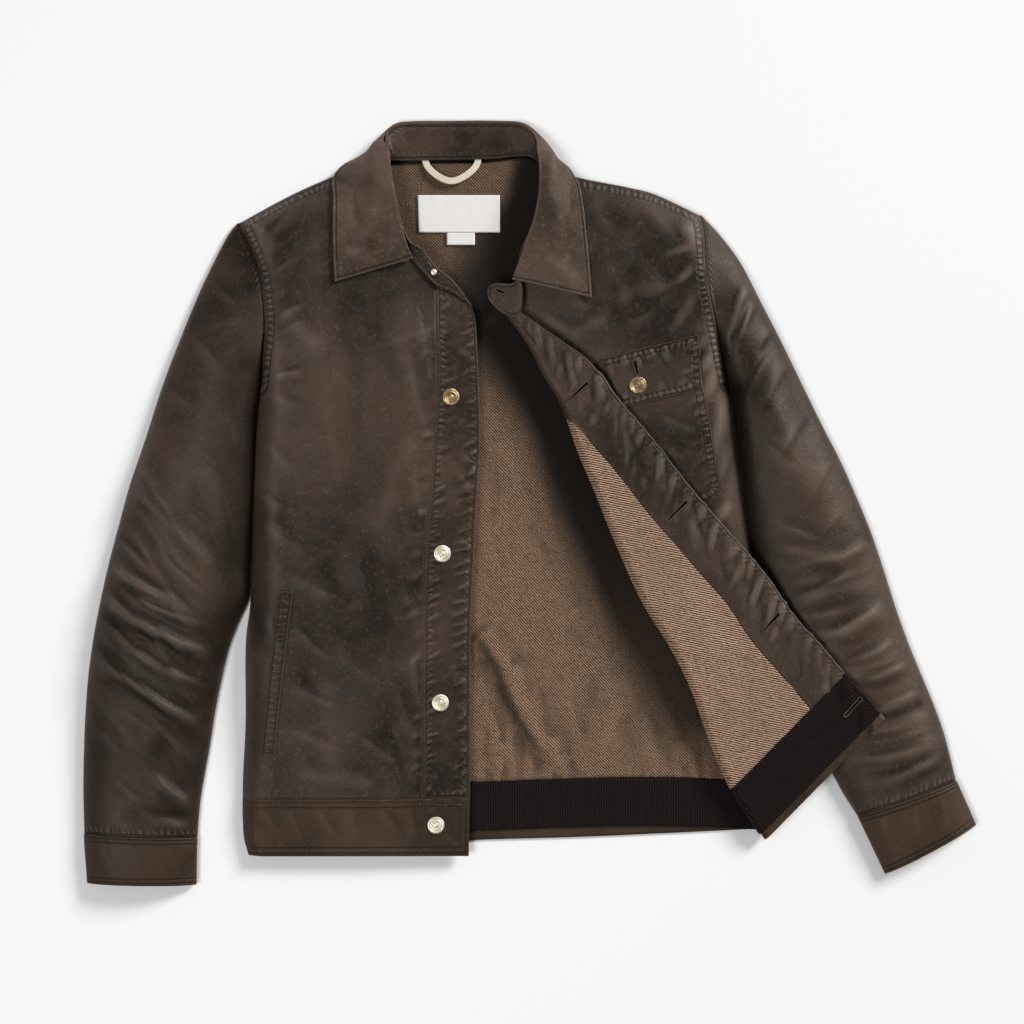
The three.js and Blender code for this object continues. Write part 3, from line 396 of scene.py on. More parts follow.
def node(tree, kind, inputs=None, **settings):
    """Adds a node with its settings, values and links, and gives its outputs."""
    made = tree.nodes.new("ShaderNode" + kind)
    for name, value in settings.items():
        setattr(made, name, value)
    for socket, value in (inputs or {}).items():
        if isinstance(value, bpy.types.NodeSocket):
            tree.links.new(value, made.inputs[socket])
        else:
            made.inputs[socket].default_value = value
    return made.outputs


def finish_of(name):
    """A new material with an empty node tree."""
    made = bpy.data.materials.new(name)
    made.use_nodes = True
    made.node_tree.nodes.clear()
    return made, made.node_tree


def stored(tree, *kinds):
    """The values that wall() keeps with each point of a piece."""
    return [node(tree, "Attribute", attribute_name=kind)["Fac"] for kind in kinds]


def noise(tree, place, scale, detail, roughness=0.5, distortion=0.0):
    return node(tree, "TexNoise", {"Vector": place, "Scale": scale, "Detail": detail,
                                   "Roughness": roughness, "Distortion": distortion})["Fac"]


def ranged(tree, value, start, end, low=0.0, high=1.0):
    """A value eased from low at start to high at end, and held there."""
    return node(tree, "MapRange", {"Value": value, "From Min": start, "From Max": end,
                                   "To Min": low, "To Max": high})["Result"]


def mixed(tree, share, first, second):
    return node(tree, "MixRGB", {"Fac": share, "Color1": first, "Color2": second})["Color"]


def maths(tree, operation, *values):
    return node(tree, "Math", dict(enumerate(values)), operation=operation)["Value"]


def tinted(tree, colour, *layers):
    """Lays colours over one another: each as far as its value is from start to end, up to its share."""
    for value, start, end, share, tint in layers:
        colour = mixed(tree, ranged(tree, value, start, end, high=share), colour, linear(tint))
    return colour


def surfaced(tree, shader, relief=None, strength=0.0, depth=0.0):
    """Ends a material with its shader's values and, where it has one, its relief of a depth in metres."""
    if relief is not None:
        bump = node(tree, "Bump", {"Height": relief, "Strength": strength, "Distance": depth})["Normal"]
        shader = {**shader, "Normal": bump}
    node(tree, "OutputMaterial", {"Surface": node(tree, "BsdfPrincipled", shader)["BSDF"]})


# Near-black of painted shade, also the darker colour of the lower right sleeve and its cuff
SHADE_AND_DARKENING_COLOUR = "0c0805"
# Near-black of painted shade in the stitch grooves and the troughs of the puckers
GROOVE_SHADE = "0a0604"
RUNG_PITCH = 6.2


def waxed_cotton(name, deep, middle, worn_and_highlight, warm, gloss):
    """Tightly woven cotton canvas with a wax dressing: painted shade makes it nearly black in the folds and
    the stitch grooves, the crests and rims are greyer as worn wax and as painted highlight, warm brown where
    it has thinned, with a dull soft gloss and fine scuffs."""
    made, tree = finish_of(name)
    place = node(tree, "TexCoord")["Object"]
    crest, rim, run, row_one, row_two, amount, shade_share = stored(
        tree, "crest", "rim", "run", "row_one", "row_two", "pucker", "shade_and_darkening")
    broad = noise(tree, place, 7.0, 3.0, distortion=0.6)
    mottle = noise(tree, place, 36.0, 6.0, 0.62)
    scuff = noise(tree, place, 240.0, 5.0, 0.75)
    # Threads are 0.4 mm apart, and are drawn as grain of about 0.9 mm so that they show
    thread = noise(tree, place, 1100.0, 2.0)
    near_row = maths(tree, "MINIMUM", maths(tree, "ABSOLUTE", row_one), maths(tree, "ABSOLUTE", row_two))
    # Beside the stitching it puckers like the rungs of a ladder, unevenly, some 6 mm apart
    wander = maths(tree, "MULTIPLY_ADD", noise(tree, place, 45.0, 2.0), 16.0, run)
    rung = maths(tree, "SINE", maths(tree, "MULTIPLY", wander, 6.2832 / RUNG_PITCH))
    within = ranged(tree, maths(tree, "ADD", row_one, 0.4), 0.0, 1.6)
    beside = maths(tree, "MULTIPLY", within, ranged(tree, row_one, 9.0, 4.0))
    ladder = maths(tree, "MULTIPLY", rung, maths(tree, "MULTIPLY", beside, amount))
    cloudy = mixed(tree, ranged(tree, broad, 0.39, 0.6), linear(deep), linear(middle))
    # The cloth is drawn into a groove along each row of stitching, which is painted dark as painted shade
    colour = tinted(
        tree, cloudy,
        # Crests and rims are greyer, as worn wax and as painted highlight, and troughs are darkened as
        # painted shade
        (mottle, 0.46, 0.76, 0.6, warm), (crest, 0.04, 0.8, 0.42, worn_and_highlight),
        (crest, -0.03, -0.42, 0.7, "100a06"), (rim, 1.4, 0.2, 0.25, worn_and_highlight),
        # Painted shade from the stored darkening, in the stitch grooves and in the ladder's troughs; its
        # ridges are painted highlight
        (scuff, 0.54, 0.76, 0.32, worn_and_highlight), (shade_share, 0.0, 1.0, 1.0, SHADE_AND_DARKENING_COLOUR),
        (near_row, 1.3, 0.3, 0.8, GROOVE_SHADE), (ladder, 0.2, 1.0, 0.4, worn_and_highlight),
        (ladder, -0.2, -1.0, 0.6, GROOVE_SHADE),
    )
    relief = maths(tree, "ADD", scuff, maths(tree, "MULTIPLY", thread, 0.6))
    relief = maths(tree, "SUBTRACT", relief, ranged(tree, near_row, 1.3, 0.3))
    relief = maths(tree, "MULTIPLY_ADD", ladder, 0.9, relief)
    surfaced(tree, {
        "Base Color": colour, "Roughness": ranged(tree, mottle, 0.3, 0.7, gloss - 0.05, gloss + 0.1),
        "Specular IOR Level": 0.34, "Specular Tint": linear("f6e2d0"),
        "Sheen Weight": 0.08, "Sheen Roughness": 0.5, "Sheen Tint": linear("9a7550"),
    }, relief, 0.5, 0.0008)
    return made


waxed = waxed_cotton("waxed_cotton_canvas", "0f0b08", "3b2f27", "786b61", "3d2d22", 0.44)


def dressed(piece, finish, nodes):
    """Gives a piece of cloth its finish and its body, and hides the parts of the model that it stands for.
    """
    piece.data.materials.append(finish)
    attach(piece, "root")
    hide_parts(*nodes)
    return piece


def neck_lift(x, y):
    return 2.1 * smoothstep(y, 250, 318) * (1 - smoothstep(np.abs(x + 65), 115, 210))


back_neck = drawn("x y", [[-158, 337], [-139, 342], [-108, 343], [-46, 343.5], [-1, 348], [24, 336]])
back_top = walker(joined(backwards(right_shoulder), back_neck, left_shoulder))
back_left = walker(joined(right_armhole, right_side))
back_right = walker(joined(left_armhole, left_side))
hem_seam_line = drawn("x y", [[-286, HEM_SEAM], [-170, -284], [-59, -278], [113, -273], [238, -277]])
back_hem_line = walker(hem_seam_line)
back_flat = plan(back_top, back_hem_line, back_left, back_right)
back_grid = lying(back_flat, lambda x, y: neck_lift(x, y) + BACK_TOP, steps(60), steps(64))
back = wall("back", back_grid, -SHELL, 0)
dressed(back, waxed, ["back_panel"])

# Hem band of the back
# A band of the same canvas closes the lower edge of the back. Its upper edge is sewn to the back panel, and
# below the corduroy facing its last centimetre shows from inside.

waxed_band = waxed_cotton("waxed_band_canvas", "20160e", "3a2b20", "665343", "463120", 0.5)
hem_side = drawn(RIM, [
    [-286, HEM_SEAM, 3.3, 30], [-286, -312, 3.3, 28], [-284.6, -334, 3.3, 26], [-280, -351, 3.3, 22],
])
back_hem_end = walker(drawn("x y", [
    [-281, -349], [-170, -343], [-59, -337], [40, -334], [113, -331], [240, -325],
]))
hem_back_flat = plan(
    shifted(back_hem_line, 0, -SEAM), back_hem_end,
    walker(drawn("x y", [[-286, HEM_SEAM - SEAM], [-286, -312], [-284.6, -334], [-281, -349]])),
    straight((238, -277 - SEAM), (240, -325)),
)
hem_back_grid = lying(hem_back_flat, lambda x, y: 0 * x + BACK_TOP, steps(220), steps(24))
hem_band_back = wall("back_hem_band", hem_back_grid, -SHELL, 0)
dressed(hem_band_back, waxed_band, ["hem_band_back"])

# Back lining
# Inside, the back is lined with a brown and fawn cotton twill. It is bagged out, a little loose on the
# panel, so it lies in soft folds, with puckers where it is sewn to the corduroy above the hem.


# The bands of a wave texture repeat every WAVE / scale metres
WAVE = 0.314


def ribbed(tree, lie, pitch, **more):
    """Ribs across the cloth's x, a pitch in metres apart."""
    values = {name.replace("_", " "): value for name, value in more.items()}
    return node(tree, "TexWave", {"Vector": lie, "Scale": WAVE / pitch, **values},
                wave_type="BANDS", bands_direction="X")["Fac"]


def twill_lining(name, slant, warmth):
    """Cotton twill of dark warp and fawn weft: diagonal ribs, speckled where a light thread comes up."""
    made, tree = finish_of(name)
    lie = node(tree, "UVMap", uv_map="cloth")["UV"]
    place = node(tree, "TexCoord")["Object"]
    crest, kept = stored(tree, "crest", "shade_and_darkening")
    broad = noise(tree, place, 11.0, 4.0, 0.6)
    patch = noise(tree, place, 130.0, 4.0, 0.7)
    fleck = noise(tree, place, 720.0, 2.0, 0.7)
    # Ribs of 2.2 mm, a little coarser than real ones so that they show
    turned_lie = node(tree, "Mapping", {"Vector": lie, "Rotation": (0, 0, slant)})["Vector"]
    rib = ribbed(tree, turned_lie, 0.0022, Distortion=2.2, Detail=2.0, Detail_Scale=3.0)
    woven = mixed(tree, 0.6, rib, fleck)
    colour = tinted(
        tree, linear("271b14"),
        (woven, 0.38, 0.64, 1.0, warmth), (broad, 0.35, 0.7, 0.3, "735a46"),
        # Troughs are darkened as painted shade, and the stored darkening paints shade beside the roll and at
        # the neck
        (patch, 0.52, 0.75, 0.5, "3d2f26"), (crest, -0.02, -0.5, 0.5, "2a1f18"),
        (kept, 0.0, 1.0, 1.0, SHADE_AND_DARKENING_COLOUR),
    )
    surfaced(tree, {
        "Base Color": colour, "Roughness": 0.88, "Specular IOR Level": 0.25,
        "Sheen Weight": 0.2, "Sheen Tint": linear("9a7b62"), "Sheen Roughness": 0.5,
    }, woven, 0.45, 0.0006)
    return made


lining_back_cloth = twill_lining("cotton_twill_back", -0.74, "987b63")
lining_folds = [
    (-51, -137, -24, -162, 14, 5), (-24, -162, -4, -217, 14, 6), (-4, -217, 16, -252, 12, 5),
    (-20, 120, 10, -20, 22, 3.5), (40, -20, 70, -130, 20, 3), (90, -180, 60, -262, 16, 3.6),
    (110, -215, 120, -262, 10, 2.6), (-30, -240, -36, -268, 9, 2.4), (20, -235, 26, -268, 8, 2.6),
    (150, -240, 156, -262, 9, 2), (-60, 250, -40, 200, 20, 2), (30, 60, 55, -10, 14, 2.2),
]
# Smaller creases that run off the S-shaped fold, and drags towards the neck
lining_creases = [
    (-49, -138, -20, -166, 4, 1.4), (-22, -170, -6, -214, 4, 1.5), (-2, -222, 14, -250, 4, 1.3),
    (-44, -200, -30, -240, 5, 1.0), (30, -180, 52, -245, 6, 1.1), (70, -150, 84, -215, 6, 1.0),
    (-30, 60, -12, 10, 6, 0.9), (5, 30, 30, -60, 6, 1.0), (-40, 180, -20, 120, 6, 0.8),
    (52, -60, 70, -120, 5, 0.9), (-46, -20, -28, -80, 5, 0.7), (120, -180, 150, -240, 6, 1.0),
]


def lining_top(x, y):
    seam = nearest(hem_seam_line, x, y)
    puckers = puckered(seam["run"], seam["distance"], 17, 26, 1.1, 1.7)
    puckers = puckers + puckered(seam["run"], seam["distance"], 8, 9, 0.5, 4.1)
    soft = folded(lining_folds, x, y) + creased(lining_creases, x, y)
    soft = soft + crumpled(x, y, 46, 0.7, 3) + np.maximum(puckers, -0.6)
    flatter = 1 - smoothstep(y, 240, 262) * (1 - smoothstep(np.abs(x + 70), 60, 80))
    return LINING_TOP + neck_lift(x, y) + 0.6 * smoothstep(y, 200, 270) + np.maximum(soft, 0) * flatter


lining_left_edge = shifted(back_left, 11)
lining_right_edge = shifted(back_right, -11)


def lining_upper_edge(t):
    return {"x": lerp(-272, 158, t), "y": back_top(lerp(0.04, 0.96, t))["y"] - lerp(7, 2, np.sin(np.pi * t))}


def lining_hem_edge(t):
    return shifted(back_hem_line, 0, 2 * SEAM)(lerp(0.02, 0.98, t))


lining_flat = plan(lining_upper_edge, lining_hem_edge, lining_left_edge, lining_right_edge)
lining_grid = lying(lining_flat, lining_top, steps(160), steps(200))
lining_y = lining_grid[..., 1]
# Painted shade darkens the lining beside the roll, where the turned front shades it, and towards the neck
roll_line = drawn("x y", [
    [10, 330], [-5, 250], [-24, 188], [31, 98], [63, 15], [111, -97], [160, -184],
])
from_roll = nearest_to(roll_line, lining_grid)["distance"]
reach = 74 + 24 * smoothstep(lining_y, 180, 230) - 52 * smoothstep(lining_y, 270, 310)
reach += 14 * (1 - smoothstep(lining_y, -260, -100))
shade_and_darkening = 0.96 * (1 - smoothstep(from_roll, 0.3 * reach, reach)) * (0.8 + 0.2 * smoothstep(lining_y, -230, 40))
shade_and_darkening = np.maximum(shade_and_darkening, 0.35 * smoothstep(lining_y, 170, 250))
# Painted shade also darkens the furrow of the S-shaped fold
furrow_line = drawn("x y", [[-62, -131], [-48, -140], [-34, -164], [-20, -200], [-2, -230], [14, -252]])
furrow = nearest_to(furrow_line, lining_grid)
ends = smoothstep(furrow["run"], 0, 20) * (1 - smoothstep(furrow["run"], 120, 150))
shade_and_darkening = np.maximum(shade_and_darkening, 0.7 * ends * np.exp(-(furrow["distance"] / 5) ** 2))
lining = wall("back_twill_lining", lining_grid, -LINING, 0, lay=lining_grid[..., :2], shade_and_darkening=shade_and_darkening)
dressed(lining, lining_back_cloth, ["back_lining"])

# Corduroy facing of the back hem
# The hem band is faced inside with near-black needlecord, whose ribs run across the band. It is sewn to the
# lining above and to the band below.


def needlecord(name):
    """Dark cotton corduroy, its cut pile in ribs of 2.4 mm that drink the light."""
    made, tree = finish_of(name)
    rib = ribbed(tree, node(tree, "UVMap", uv_map="cloth")["UV"], 0.0024, Distortion=0.35, Detail=1.0)
    pile = noise(tree, node(tree, "TexCoord")["Object"], 520.0, 3.0)
    colour = tinted(tree, linear("080404"), (rib, 0.2, 0.9, 1.0, "1f1512"), (pile, 0.5, 0.8, 0.35, "302320"))
    surfaced(tree, {
        "Base Color": colour, "Roughness": 0.95, "Specular IOR Level": 0.2,
        "Sheen Weight": 0.35, "Sheen Roughness": 0.4, "Sheen Tint": linear("5a4540"),
    }, rib, 0.8, 0.0009)
    return made


cord_cloth = needlecord("cotton_needlecord")
CORD_DEPTH = 49


def hem_of_lining(t):
    x, y = lining_flat(t, np.ones(np.shape(t)))
    return {"x": x, "y": y}


cord_top = shifted(hem_of_lining, 0, -2 * SEAM)
cord_foot = shifted(hem_of_lining, 0, -CORD_DEPTH)


def corners(path, other, t):
    a, b = path(np.array([float(t)])), other(np.array([float(t)]))
    return straight((a["x"][0], a["y"][0]), (b["x"][0], b["y"][0]))


cord_flat = plan(cord_top, cord_foot, corners(cord_top, cord_foot, 0), corners(cord_top, cord_foot, 1))


def cord_height(x, y):
    seam = nearest(hem_seam_line, x, y)
    waves = puckered(seam["run"], seam["distance"], 23, 30, 0.5, 2.4)
    return LINING_TOP + 0.4 + waves


cord_grid = lying(cord_flat, cord_height, steps(260), steps(24))
cord_back = wall("back_corduroy", cord_grid, -LINING, 0, lay=cord_grid[..., :2])
dressed(cord_back, cord_cloth, ["hem_facing_back"])

# Right front
# The wearer's right front lies over the back at photo-left: one panel from the shoulder to the hem band,
# with broad soft folds down the body and short drags at the placket, the armhole and the hand pocket.

placket_seam = drawn("x y", [
    [-92, 216], [-91.5, 165], [-91, 116], [-97, 12], [-102, -56], [-104, -137], [-105, HEM_SEAM],
])
front_edge = drawn("x y", [
    [-66, 206], [-57, 195], [-53, 178], [-51.5, 150], [-50, 110], [-49, 63], [-50, 37], [-53, -10],
    [-56, -74], [-58.4, -137], [-59, -277], [-59.2, HEM_SEAM],
])
hem_front_edge = drawn("x y", [[-59.2, HEM_SEAM], [-59.6, -322], [-60, -351]])
right_rim = joined(right_placket_top, right_neck, right_shoulder, right_armhole, right_side, hem_side)
right_open_edge = joined(front_edge, hem_front_edge)
right_heights = table("y body front", [
    [345, 16, 12], [250, 27, 12], [150, 31, 13], [0, 32, 13.5], [-150, 29, 13], [HEM_SEAM, 19, 12.4],
    [-355, 14, 12],
])
right_folds = [
    (-229, 283, -199, 83, 22, 3), (-134, 173, -112, -257, 20, 2.6), (-169, 203, -159, -67, 24, -4),
    (-199, -137, -129, -197, 16, 3), (-199, -57, -179, -97, 16, -3), (-229, -267, -159, -282, 12, 2.4),
    (-250, 60, -236, -60, 14, -2.6), (-215, -150, -205, -260, 14, -2.4), (-120, 60, -150, -20, 12, 2),
    (-245, 190, -205, 150, 11, 2.2), (-140, -215, -122, -270, 9, -2), (-262, -20, -225, -50, 10, 2),
]
right_creases = [
    (-112, 190, -100, 120, 6, 0.9), (-126, 150, -104, 60, 7, 1.0), (-118, 40, -106, -30, 6, 1.1),
    (-140, 20, -112, -60, 8, 1.0), (-128, -80, -108, -130, 6, 1.2), (-118, -150, -108, -210, 5, 1.1),
    (-135, -180, -112, -240, 6, 1.2), (-240, -70, -190, -100, 7, 1.2), (-236, -120, -196, -160, 7, 1.3),
    (-238, -180, -190, -205, 7, 1.2), (-240, -225, -180, -250, 7, 1.2), (-200, -255, -150, -285, 7, 1.1),
    (-170, -230, -130, -262, 6, 1.1), (-262, 110, -222, 90, 7, 1.1), (-258, 150, -214, 172, 8, 0.9),
    (-264, 60, -232, 30, 7, 1.0), (-272, 10, -240, -8, 6, 1.0), (-205, 120, -190, 20, 10, 0.9),
    (-176, -20, -160, -110, 9, 1.0), (-150, 110, -140, 30, 9, 0.8), (-260, -110, -246, -150, 5, 0.9),
    (-180, 300, -172, 240, 9, 0.8), (-214, 270, -206, 210, 8, 0.8), (-150, 205, -142, 150, 7, 0.8),
]

right_creases += gathers(placket_seam, -2, 26, 15, 0.8, 3.4, 0.6, 1)
right_creases += gathers(right_armhole, 12, 9, 26, -0.6, 4, 0.9, 2)
# On the placket the gathers run in from the front edge and out from its seam
placket_creases = gathers(front_edge, -1, 44, 16, 0.4, 2.4, 1.1, 3)
placket_creases += gathers(placket_seam, 1, 34, 14, -0.35, 2.1, 0.9, 4)
placket_creases += gathers(shifted_line(front_edge, -22), 1, 12, 30, 1.4, 3.6, 0.9, 13)


def down_the_body(rows, y):
    """Two heights at a place down the body, eased between the rows of a table."""
    i = np.clip(np.searchsorted(-rows["y"], -y), 1, len(rows["y"]) - 1)
    t = smoothstep(-y, -rows["y"][i - 1], -rows["y"][i])
    return {name: lerp(column[i - 1], column[i], t) for name, column in rows.items()}


def right_top(x, y):
    """Height of the upper face of the right front."""
    rim = nearest(right_rim, x, y)
    edge = nearest(right_open_edge, x, y)
    seam = nearest(placket_seam, x, y)
    arm = nearest(right_armhole, x, y)
    shape = down_the_body(right_heights, y)
    full = lerp(shape["front"], shape["body"], smoothstep(edge["distance"], 0, 115))
    full = full + folded(right_folds, x, y) * smoothstep(edge["distance"], 0, 60)
    inside = smoothstep(rim["distance"], 2, 22)
    fine = creased(right_creases, x, y) + crumpled(x, y, 46, 0.3, 5)
    fine = fine + puckered(arm["run"], np.abs(arm["distance"] - 6), 7, 3.5, 0.4, 2.2)
    height = lerp(rim["z"], full, 1 - (1 - np.clip(rim["distance"] / rim["roll"], 0, 1)) ** 3)
    placket = smoothstep(seam["distance"], 0, 4) * (edge["distance"] < 46)
    drag = creased(placket_creases, x, y) * placket * smoothstep(edge["distance"], 0, 5)
    return height + fine * inside * (1 - placket) + drag * smoothstep(y, HEM_SEAM, HEM_SEAM + 8)


front_right_flat = plan(
    walker(joined(backwards(right_shoulder), backwards(right_neck))),
    straight((-286, HEM_SEAM), (-105 - SEAM, HEM_SEAM)),
    back_left, shifted(walker(placket_seam), -SEAM),
)
front_right_grid = lying(front_right_flat, right_top, steps(96), steps(280))
sewn_edge = nearest_to(joined(right_shoulder, right_armhole), front_right_grid)
front_right = wall("right_front", front_right_grid, -SHELL, 0, sewn=(3, 9.5),
                   beside=sewn_edge["distance"], run=sewn_edge["run"])
dressed(front_right, waxed, ["front_right"])

# Placket of the right front
# A straight strip of canvas, folded and sewn on along the front edge, carries the buttons. It is stiffer
# than the panel, and drags in short gathers between its two rows of stitching.

placket_flat = plan(
    walker(backwards(right_placket_top)), straight((-105, HEM_SEAM), (-59.2, HEM_SEAM)),
    walker(placket_seam), walker(front_edge),
)


def placket_top(x, y):
    return right_top(x, y) + PROUD


placket_grid = lying(placket_flat, placket_top, steps(34), steps(340))
placket = wall("button_placket", placket_grid, -BAND, 0, sewn=(2.4, NO_ROW), pucker=0.55)
dressed(placket, waxed, ["placket_right"])

# Hem band of the right front
# The band at the lower edge is a doubled strip of browner canvas, sewn with two rows at the top, and
# wrinkled on the slant where the body pulls on it.

hem_right_flat = plan(
    straight((-286, HEM_SEAM - SEAM), (-59.2, HEM_SEAM - SEAM)), straight((-280, -351), (-60, -351)),
    shifted(walker(hem_side), 0, -SEAM), shifted(walker(hem_front_edge), 0, -SEAM),
)
hem_creases = [
    (-270, -300, -248, -330, 5, 1.0), (-240, -303, -222, -345, 5, 1.1), (-212, -300, -190, -338, 5, 1.0),
    (-180, -304, -168, -340, 5, 1.0), (-150, -300, -128, -336, 5, 1.1), (-122, -302, -110, -340, 5, 0.9),
    (-100, -300, -84, -318, 4, 0.8), (-84, -328, -68, -344, 4, 0.8),
]
hem_right_line = table("x y", [[-286, HEM_SEAM], [-59.2, HEM_SEAM]])


def hem_top(x, y):
    seam = nearest(hem_right_line, x, y)
    puckers = puckered(seam["run"], seam["distance"], 19, 13, 0.6, 0.9)
    return placket_top(x, y) + creased(hem_creases, x, y) + puckers


hem_right_grid = lying(hem_right_flat, hem_top, steps(130), steps(34))
hem_right = wall("right_hem_band", hem_right_grid, -BAND, 0, sewn=(3, 8.5), pucker=0.35)
dressed(hem_right, waxed_band, ["hem_band_right"])

# Welt of the hand pocket
# The hand pocket in the right front is a slit with one welt, sewn down at both ends with short bars.

welt_slit = walker(drawn("x y", [[-247, -87], [-257, -168], [-266, -250]]))
welt_flat = plan(
    straight((-247, -87), (-230, -90)), straight((-266, -250), (-252, -254)),
    welt_slit, shifted(welt_slit, 14),
)
welt_grid = lying(welt_flat, right_top, steps(10), steps(80))
welt = wall("pocket_welt", welt_grid, SEAM, SEAM + LINING, sewn=(2, NO_ROW), pucker=0.5)
dressed(welt, waxed, ["welt_right"])

# Left front, turned back
# The wearer's left front rolls over along a diagonal from the neck to the hem, so that its inside shows.
# The canvas runs from the armhole and side seam to the roll, over it, and out to the free edge.

turned = table("foldX foldY edgeX edgeY radius top mid edge", [
    [-24, 188, -17, 195, 2, 20, 20.5, 21],
    [-2, 158, 14, 173, 3, 22, 23.5, 24.5],
    [15, 125, 38, 156, 3.6, 24, 26, 27.5],
    [31, 98, 63, 136, 4, 25, 27.5, 29],
    [49, 48, 94, 96, 4.5, 25.5, 28, 30.5],
    [63, 15, 120, 66, 4.5, 25.5, 28, 30.5],
    [84, -37, 156, 20, 4.5, 25, 27, 28.5],
    [111, -97, 197, -28, 4.5, 23.5, 25, 26],
    [138, -141, 232, -68, 4.5, 22, 23.5, 24.5],
    [160, -184, 262, -111, 4.5, 20, 23, 26],
    [180, -240, 290, -142, 4.2, 18, 23, 28.8],
    [200, -285, 312, -168.5, 4, 15.8, 22.5, 30],
    [233.7, -337, 352, -213, 3.4, 12.8, 20.5, 29.5],
])
LAST_PANEL_ROW = 11
LAST_ROW = 12
LAYER_GAP = 0.7
LAYERS = SHELL + LAYER_GAP + LINING
OUTSIDE = (-LAYERS, -SHELL - LAYER_GAP)
traced = trace(turned)
fold_line = {"x": traced["foldX"], "y": traced["foldY"]}
free_edge = {"x": traced["edgeX"], "y": traced["edgeY"]}
left_hem_side = drawn(RIM, [[238, -277, 3.3, 18], [239, -302, 3.3, 14], [240, -326, 3.3, 10]])
left_rim = joined(left_neck, left_shoulder, left_armhole, left_side, left_hem_side)
left_heights = table("y body fold", [
    [345, 16, 12], [250, 25, 13], [150, 26, 14.5], [50, 24.5, 14.5], [-50, 21, 13.5], [-150, 16, 11.5],
    [-240, 11, 9], [-300, 8.5, 7.4], [-345, 7, 6.4],
])
left_folds = [
    (36, 290, 60, 240, 14, 2), (112, 262, 152, 190, 14, -2.2), (88, 205, 140, 215, 12, 1.8),
    (40, 165, 78, 185, 10, 1.6), (196, 96, 178, 40, 10, 2), (150, -30, 205, -10, 12, 1.6),
]
left_creases = [
    (70, 250, 100, 190, 9, 1.0), (30, 230, 62, 180, 7, 1.0), (120, 290, 158, 240, 8, 1.0),
    (60, 300, 84, 262, 8, 0.8), (10, 190, 44, 168, 6, 1.0), (168, 210, 140, 178, 7, 1.0),
    (186, 130, 170, 90, 7, 1.1), (204, 60, 186, 20, 6, 1.0), (200, 0, 178, -30, 6, 1.1),
    (212, -40, 196, -62, 6, 1.0), (150, 0, 180, -20, 6, 0.9), (92, 175, 130, 190, 7, 0.8),
]

left_creases += gathers(left_armhole, -12, 9, 26, 0.6, 4, 0.9, 5)


def left_top(x, y):
    """Height of the upper face of the left front where it faces up."""
    rim = nearest(left_rim, x, y)
    inward = nearest(fold_line, x, y)["distance"]
    arm = nearest(left_armhole, x, y)
    shape = down_the_body(left_heights, y)
    full = lerp(shape["fold"], shape["body"], smoothstep(inward, 0, 80))
    full = full + folded(left_folds, x, y) * smoothstep(inward, 0, 40)
    fine = creased(left_creases, x, y) + crumpled(x, y, 44, 0.3, 8)
    fine = fine + puckered(arm["run"], np.abs(arm["distance"] - 6), 7, 3.5, 0.45, 0.4)
    inside = smoothstep(rim["distance"], 2, 22) * smoothstep(inward, 10, 40)
    return lerp(rim["z"], full, 1 - (1 - np.clip(rim["distance"] / rim["roll"], 0, 1)) ** 3) + fine * inside


left_upper = walker(joined(left_neck, left_shoulder))
left_outer = walker(joined(left_armhole, left_side))
left_hem_outer = walker(left_hem_side)


def course(s):
    """One course of the left front: its fold, free edge, side seam, and the foot of the roll."""
    c = along(turned, s)
    upper, lower = left_outer(s / LAST_PANEL_ROW), left_hem_outer(s - LAST_PANEL_ROW)
    for key in "xy":
        c["side_" + key] = np.where(s <= LAST_PANEL_ROW, upper[key], lower[key])
    c["width"] = np.hypot(c["edgeX"] - c["foldX"], c["edgeY"] - c["foldY"])
    c["out_x"], c["out_y"] = (c["edgeX"] - c["foldX"]) / c["width"], (c["edgeY"] - c["foldY"]) / c["width"]
    apart = np.hypot(c["side_x"] - c["foldX"], c["side_y"] - c["foldY"])
    c["in_x"], c["in_y"] = (c["side_x"] - c["foldX"]) / apart, (c["side_y"] - c["foldY"]) / apart
    c["foot_x"] = c["foldX"] + c["in_x"] * (LAYERS + c["radius"])
    c["foot_y"] = c["foldY"] + c["in_y"] * (LAYERS + c["radius"])
    c["low"] = left_top(c["foot_x"], c["foot_y"])
    return c


def foot_path(t):
    c = course(np.clip(np.asarray(t, float), 0, 1) * LAST_PANEL_ROW)
    return {"x": c["foot_x"], "y": c["foot_y"]}


def end_point(path, t):
    point = path(np.array([float(t)]))
    return (point["x"][0], point["y"][0])


face_up = plan(
    lambda t: left_upper(1 - t), straight(end_point(left_outer, 1), end_point(foot_path, 1)),
    left_outer, foot_path,
)
# Puckers and drags of the turned part, seen from its inside
turned_creases = [
    (40, 150, 52, 128, 5, 1.0), (66, 132, 78, 108, 5, 1.1), (84, 104, 70, 84, 4, 1.0),
    (100, 88, 92, 62, 5, 1.0), (112, 70, 96, 48, 5, 1.1), (130, 52, 126, 24, 5, 1.1),
    (146, 28, 128, 8, 5, 1.1), (160, 10, 152, -16, 5, 1.2), (176, -6, 160, -24, 4, 1.0),
    (190, -22, 184, -46, 5, 1.2), (206, -42, 190, -60, 5, 1.1), (220, -56, 214, -80, 5, 1.2),
    (236, -76, 220, -94, 5, 1.1), (250, -96, 248, -118, 5, 1.2), (264, -116, 246, -132, 5, 1.1),
    (276, -128, 276, -148, 5, 1.2), (286, -146, 270, -160, 5, 1.0), (120, 0, 150, -70, 12, 0.9),
    (160, -90, 190, -150, 14, 1.0), (190, -160, 214, -230, 14, 1.1), (230, -170, 250, -230, 12, 1.0),
]

turned_creases += gathers(free_edge, -2, 42, 24, 1.25, 2.8, 1.4, 6)
turned_creases += gathers(shifted_line(free_edge, -52), 2, 30, 18, -1.25, 3.0, 0.8, 16)


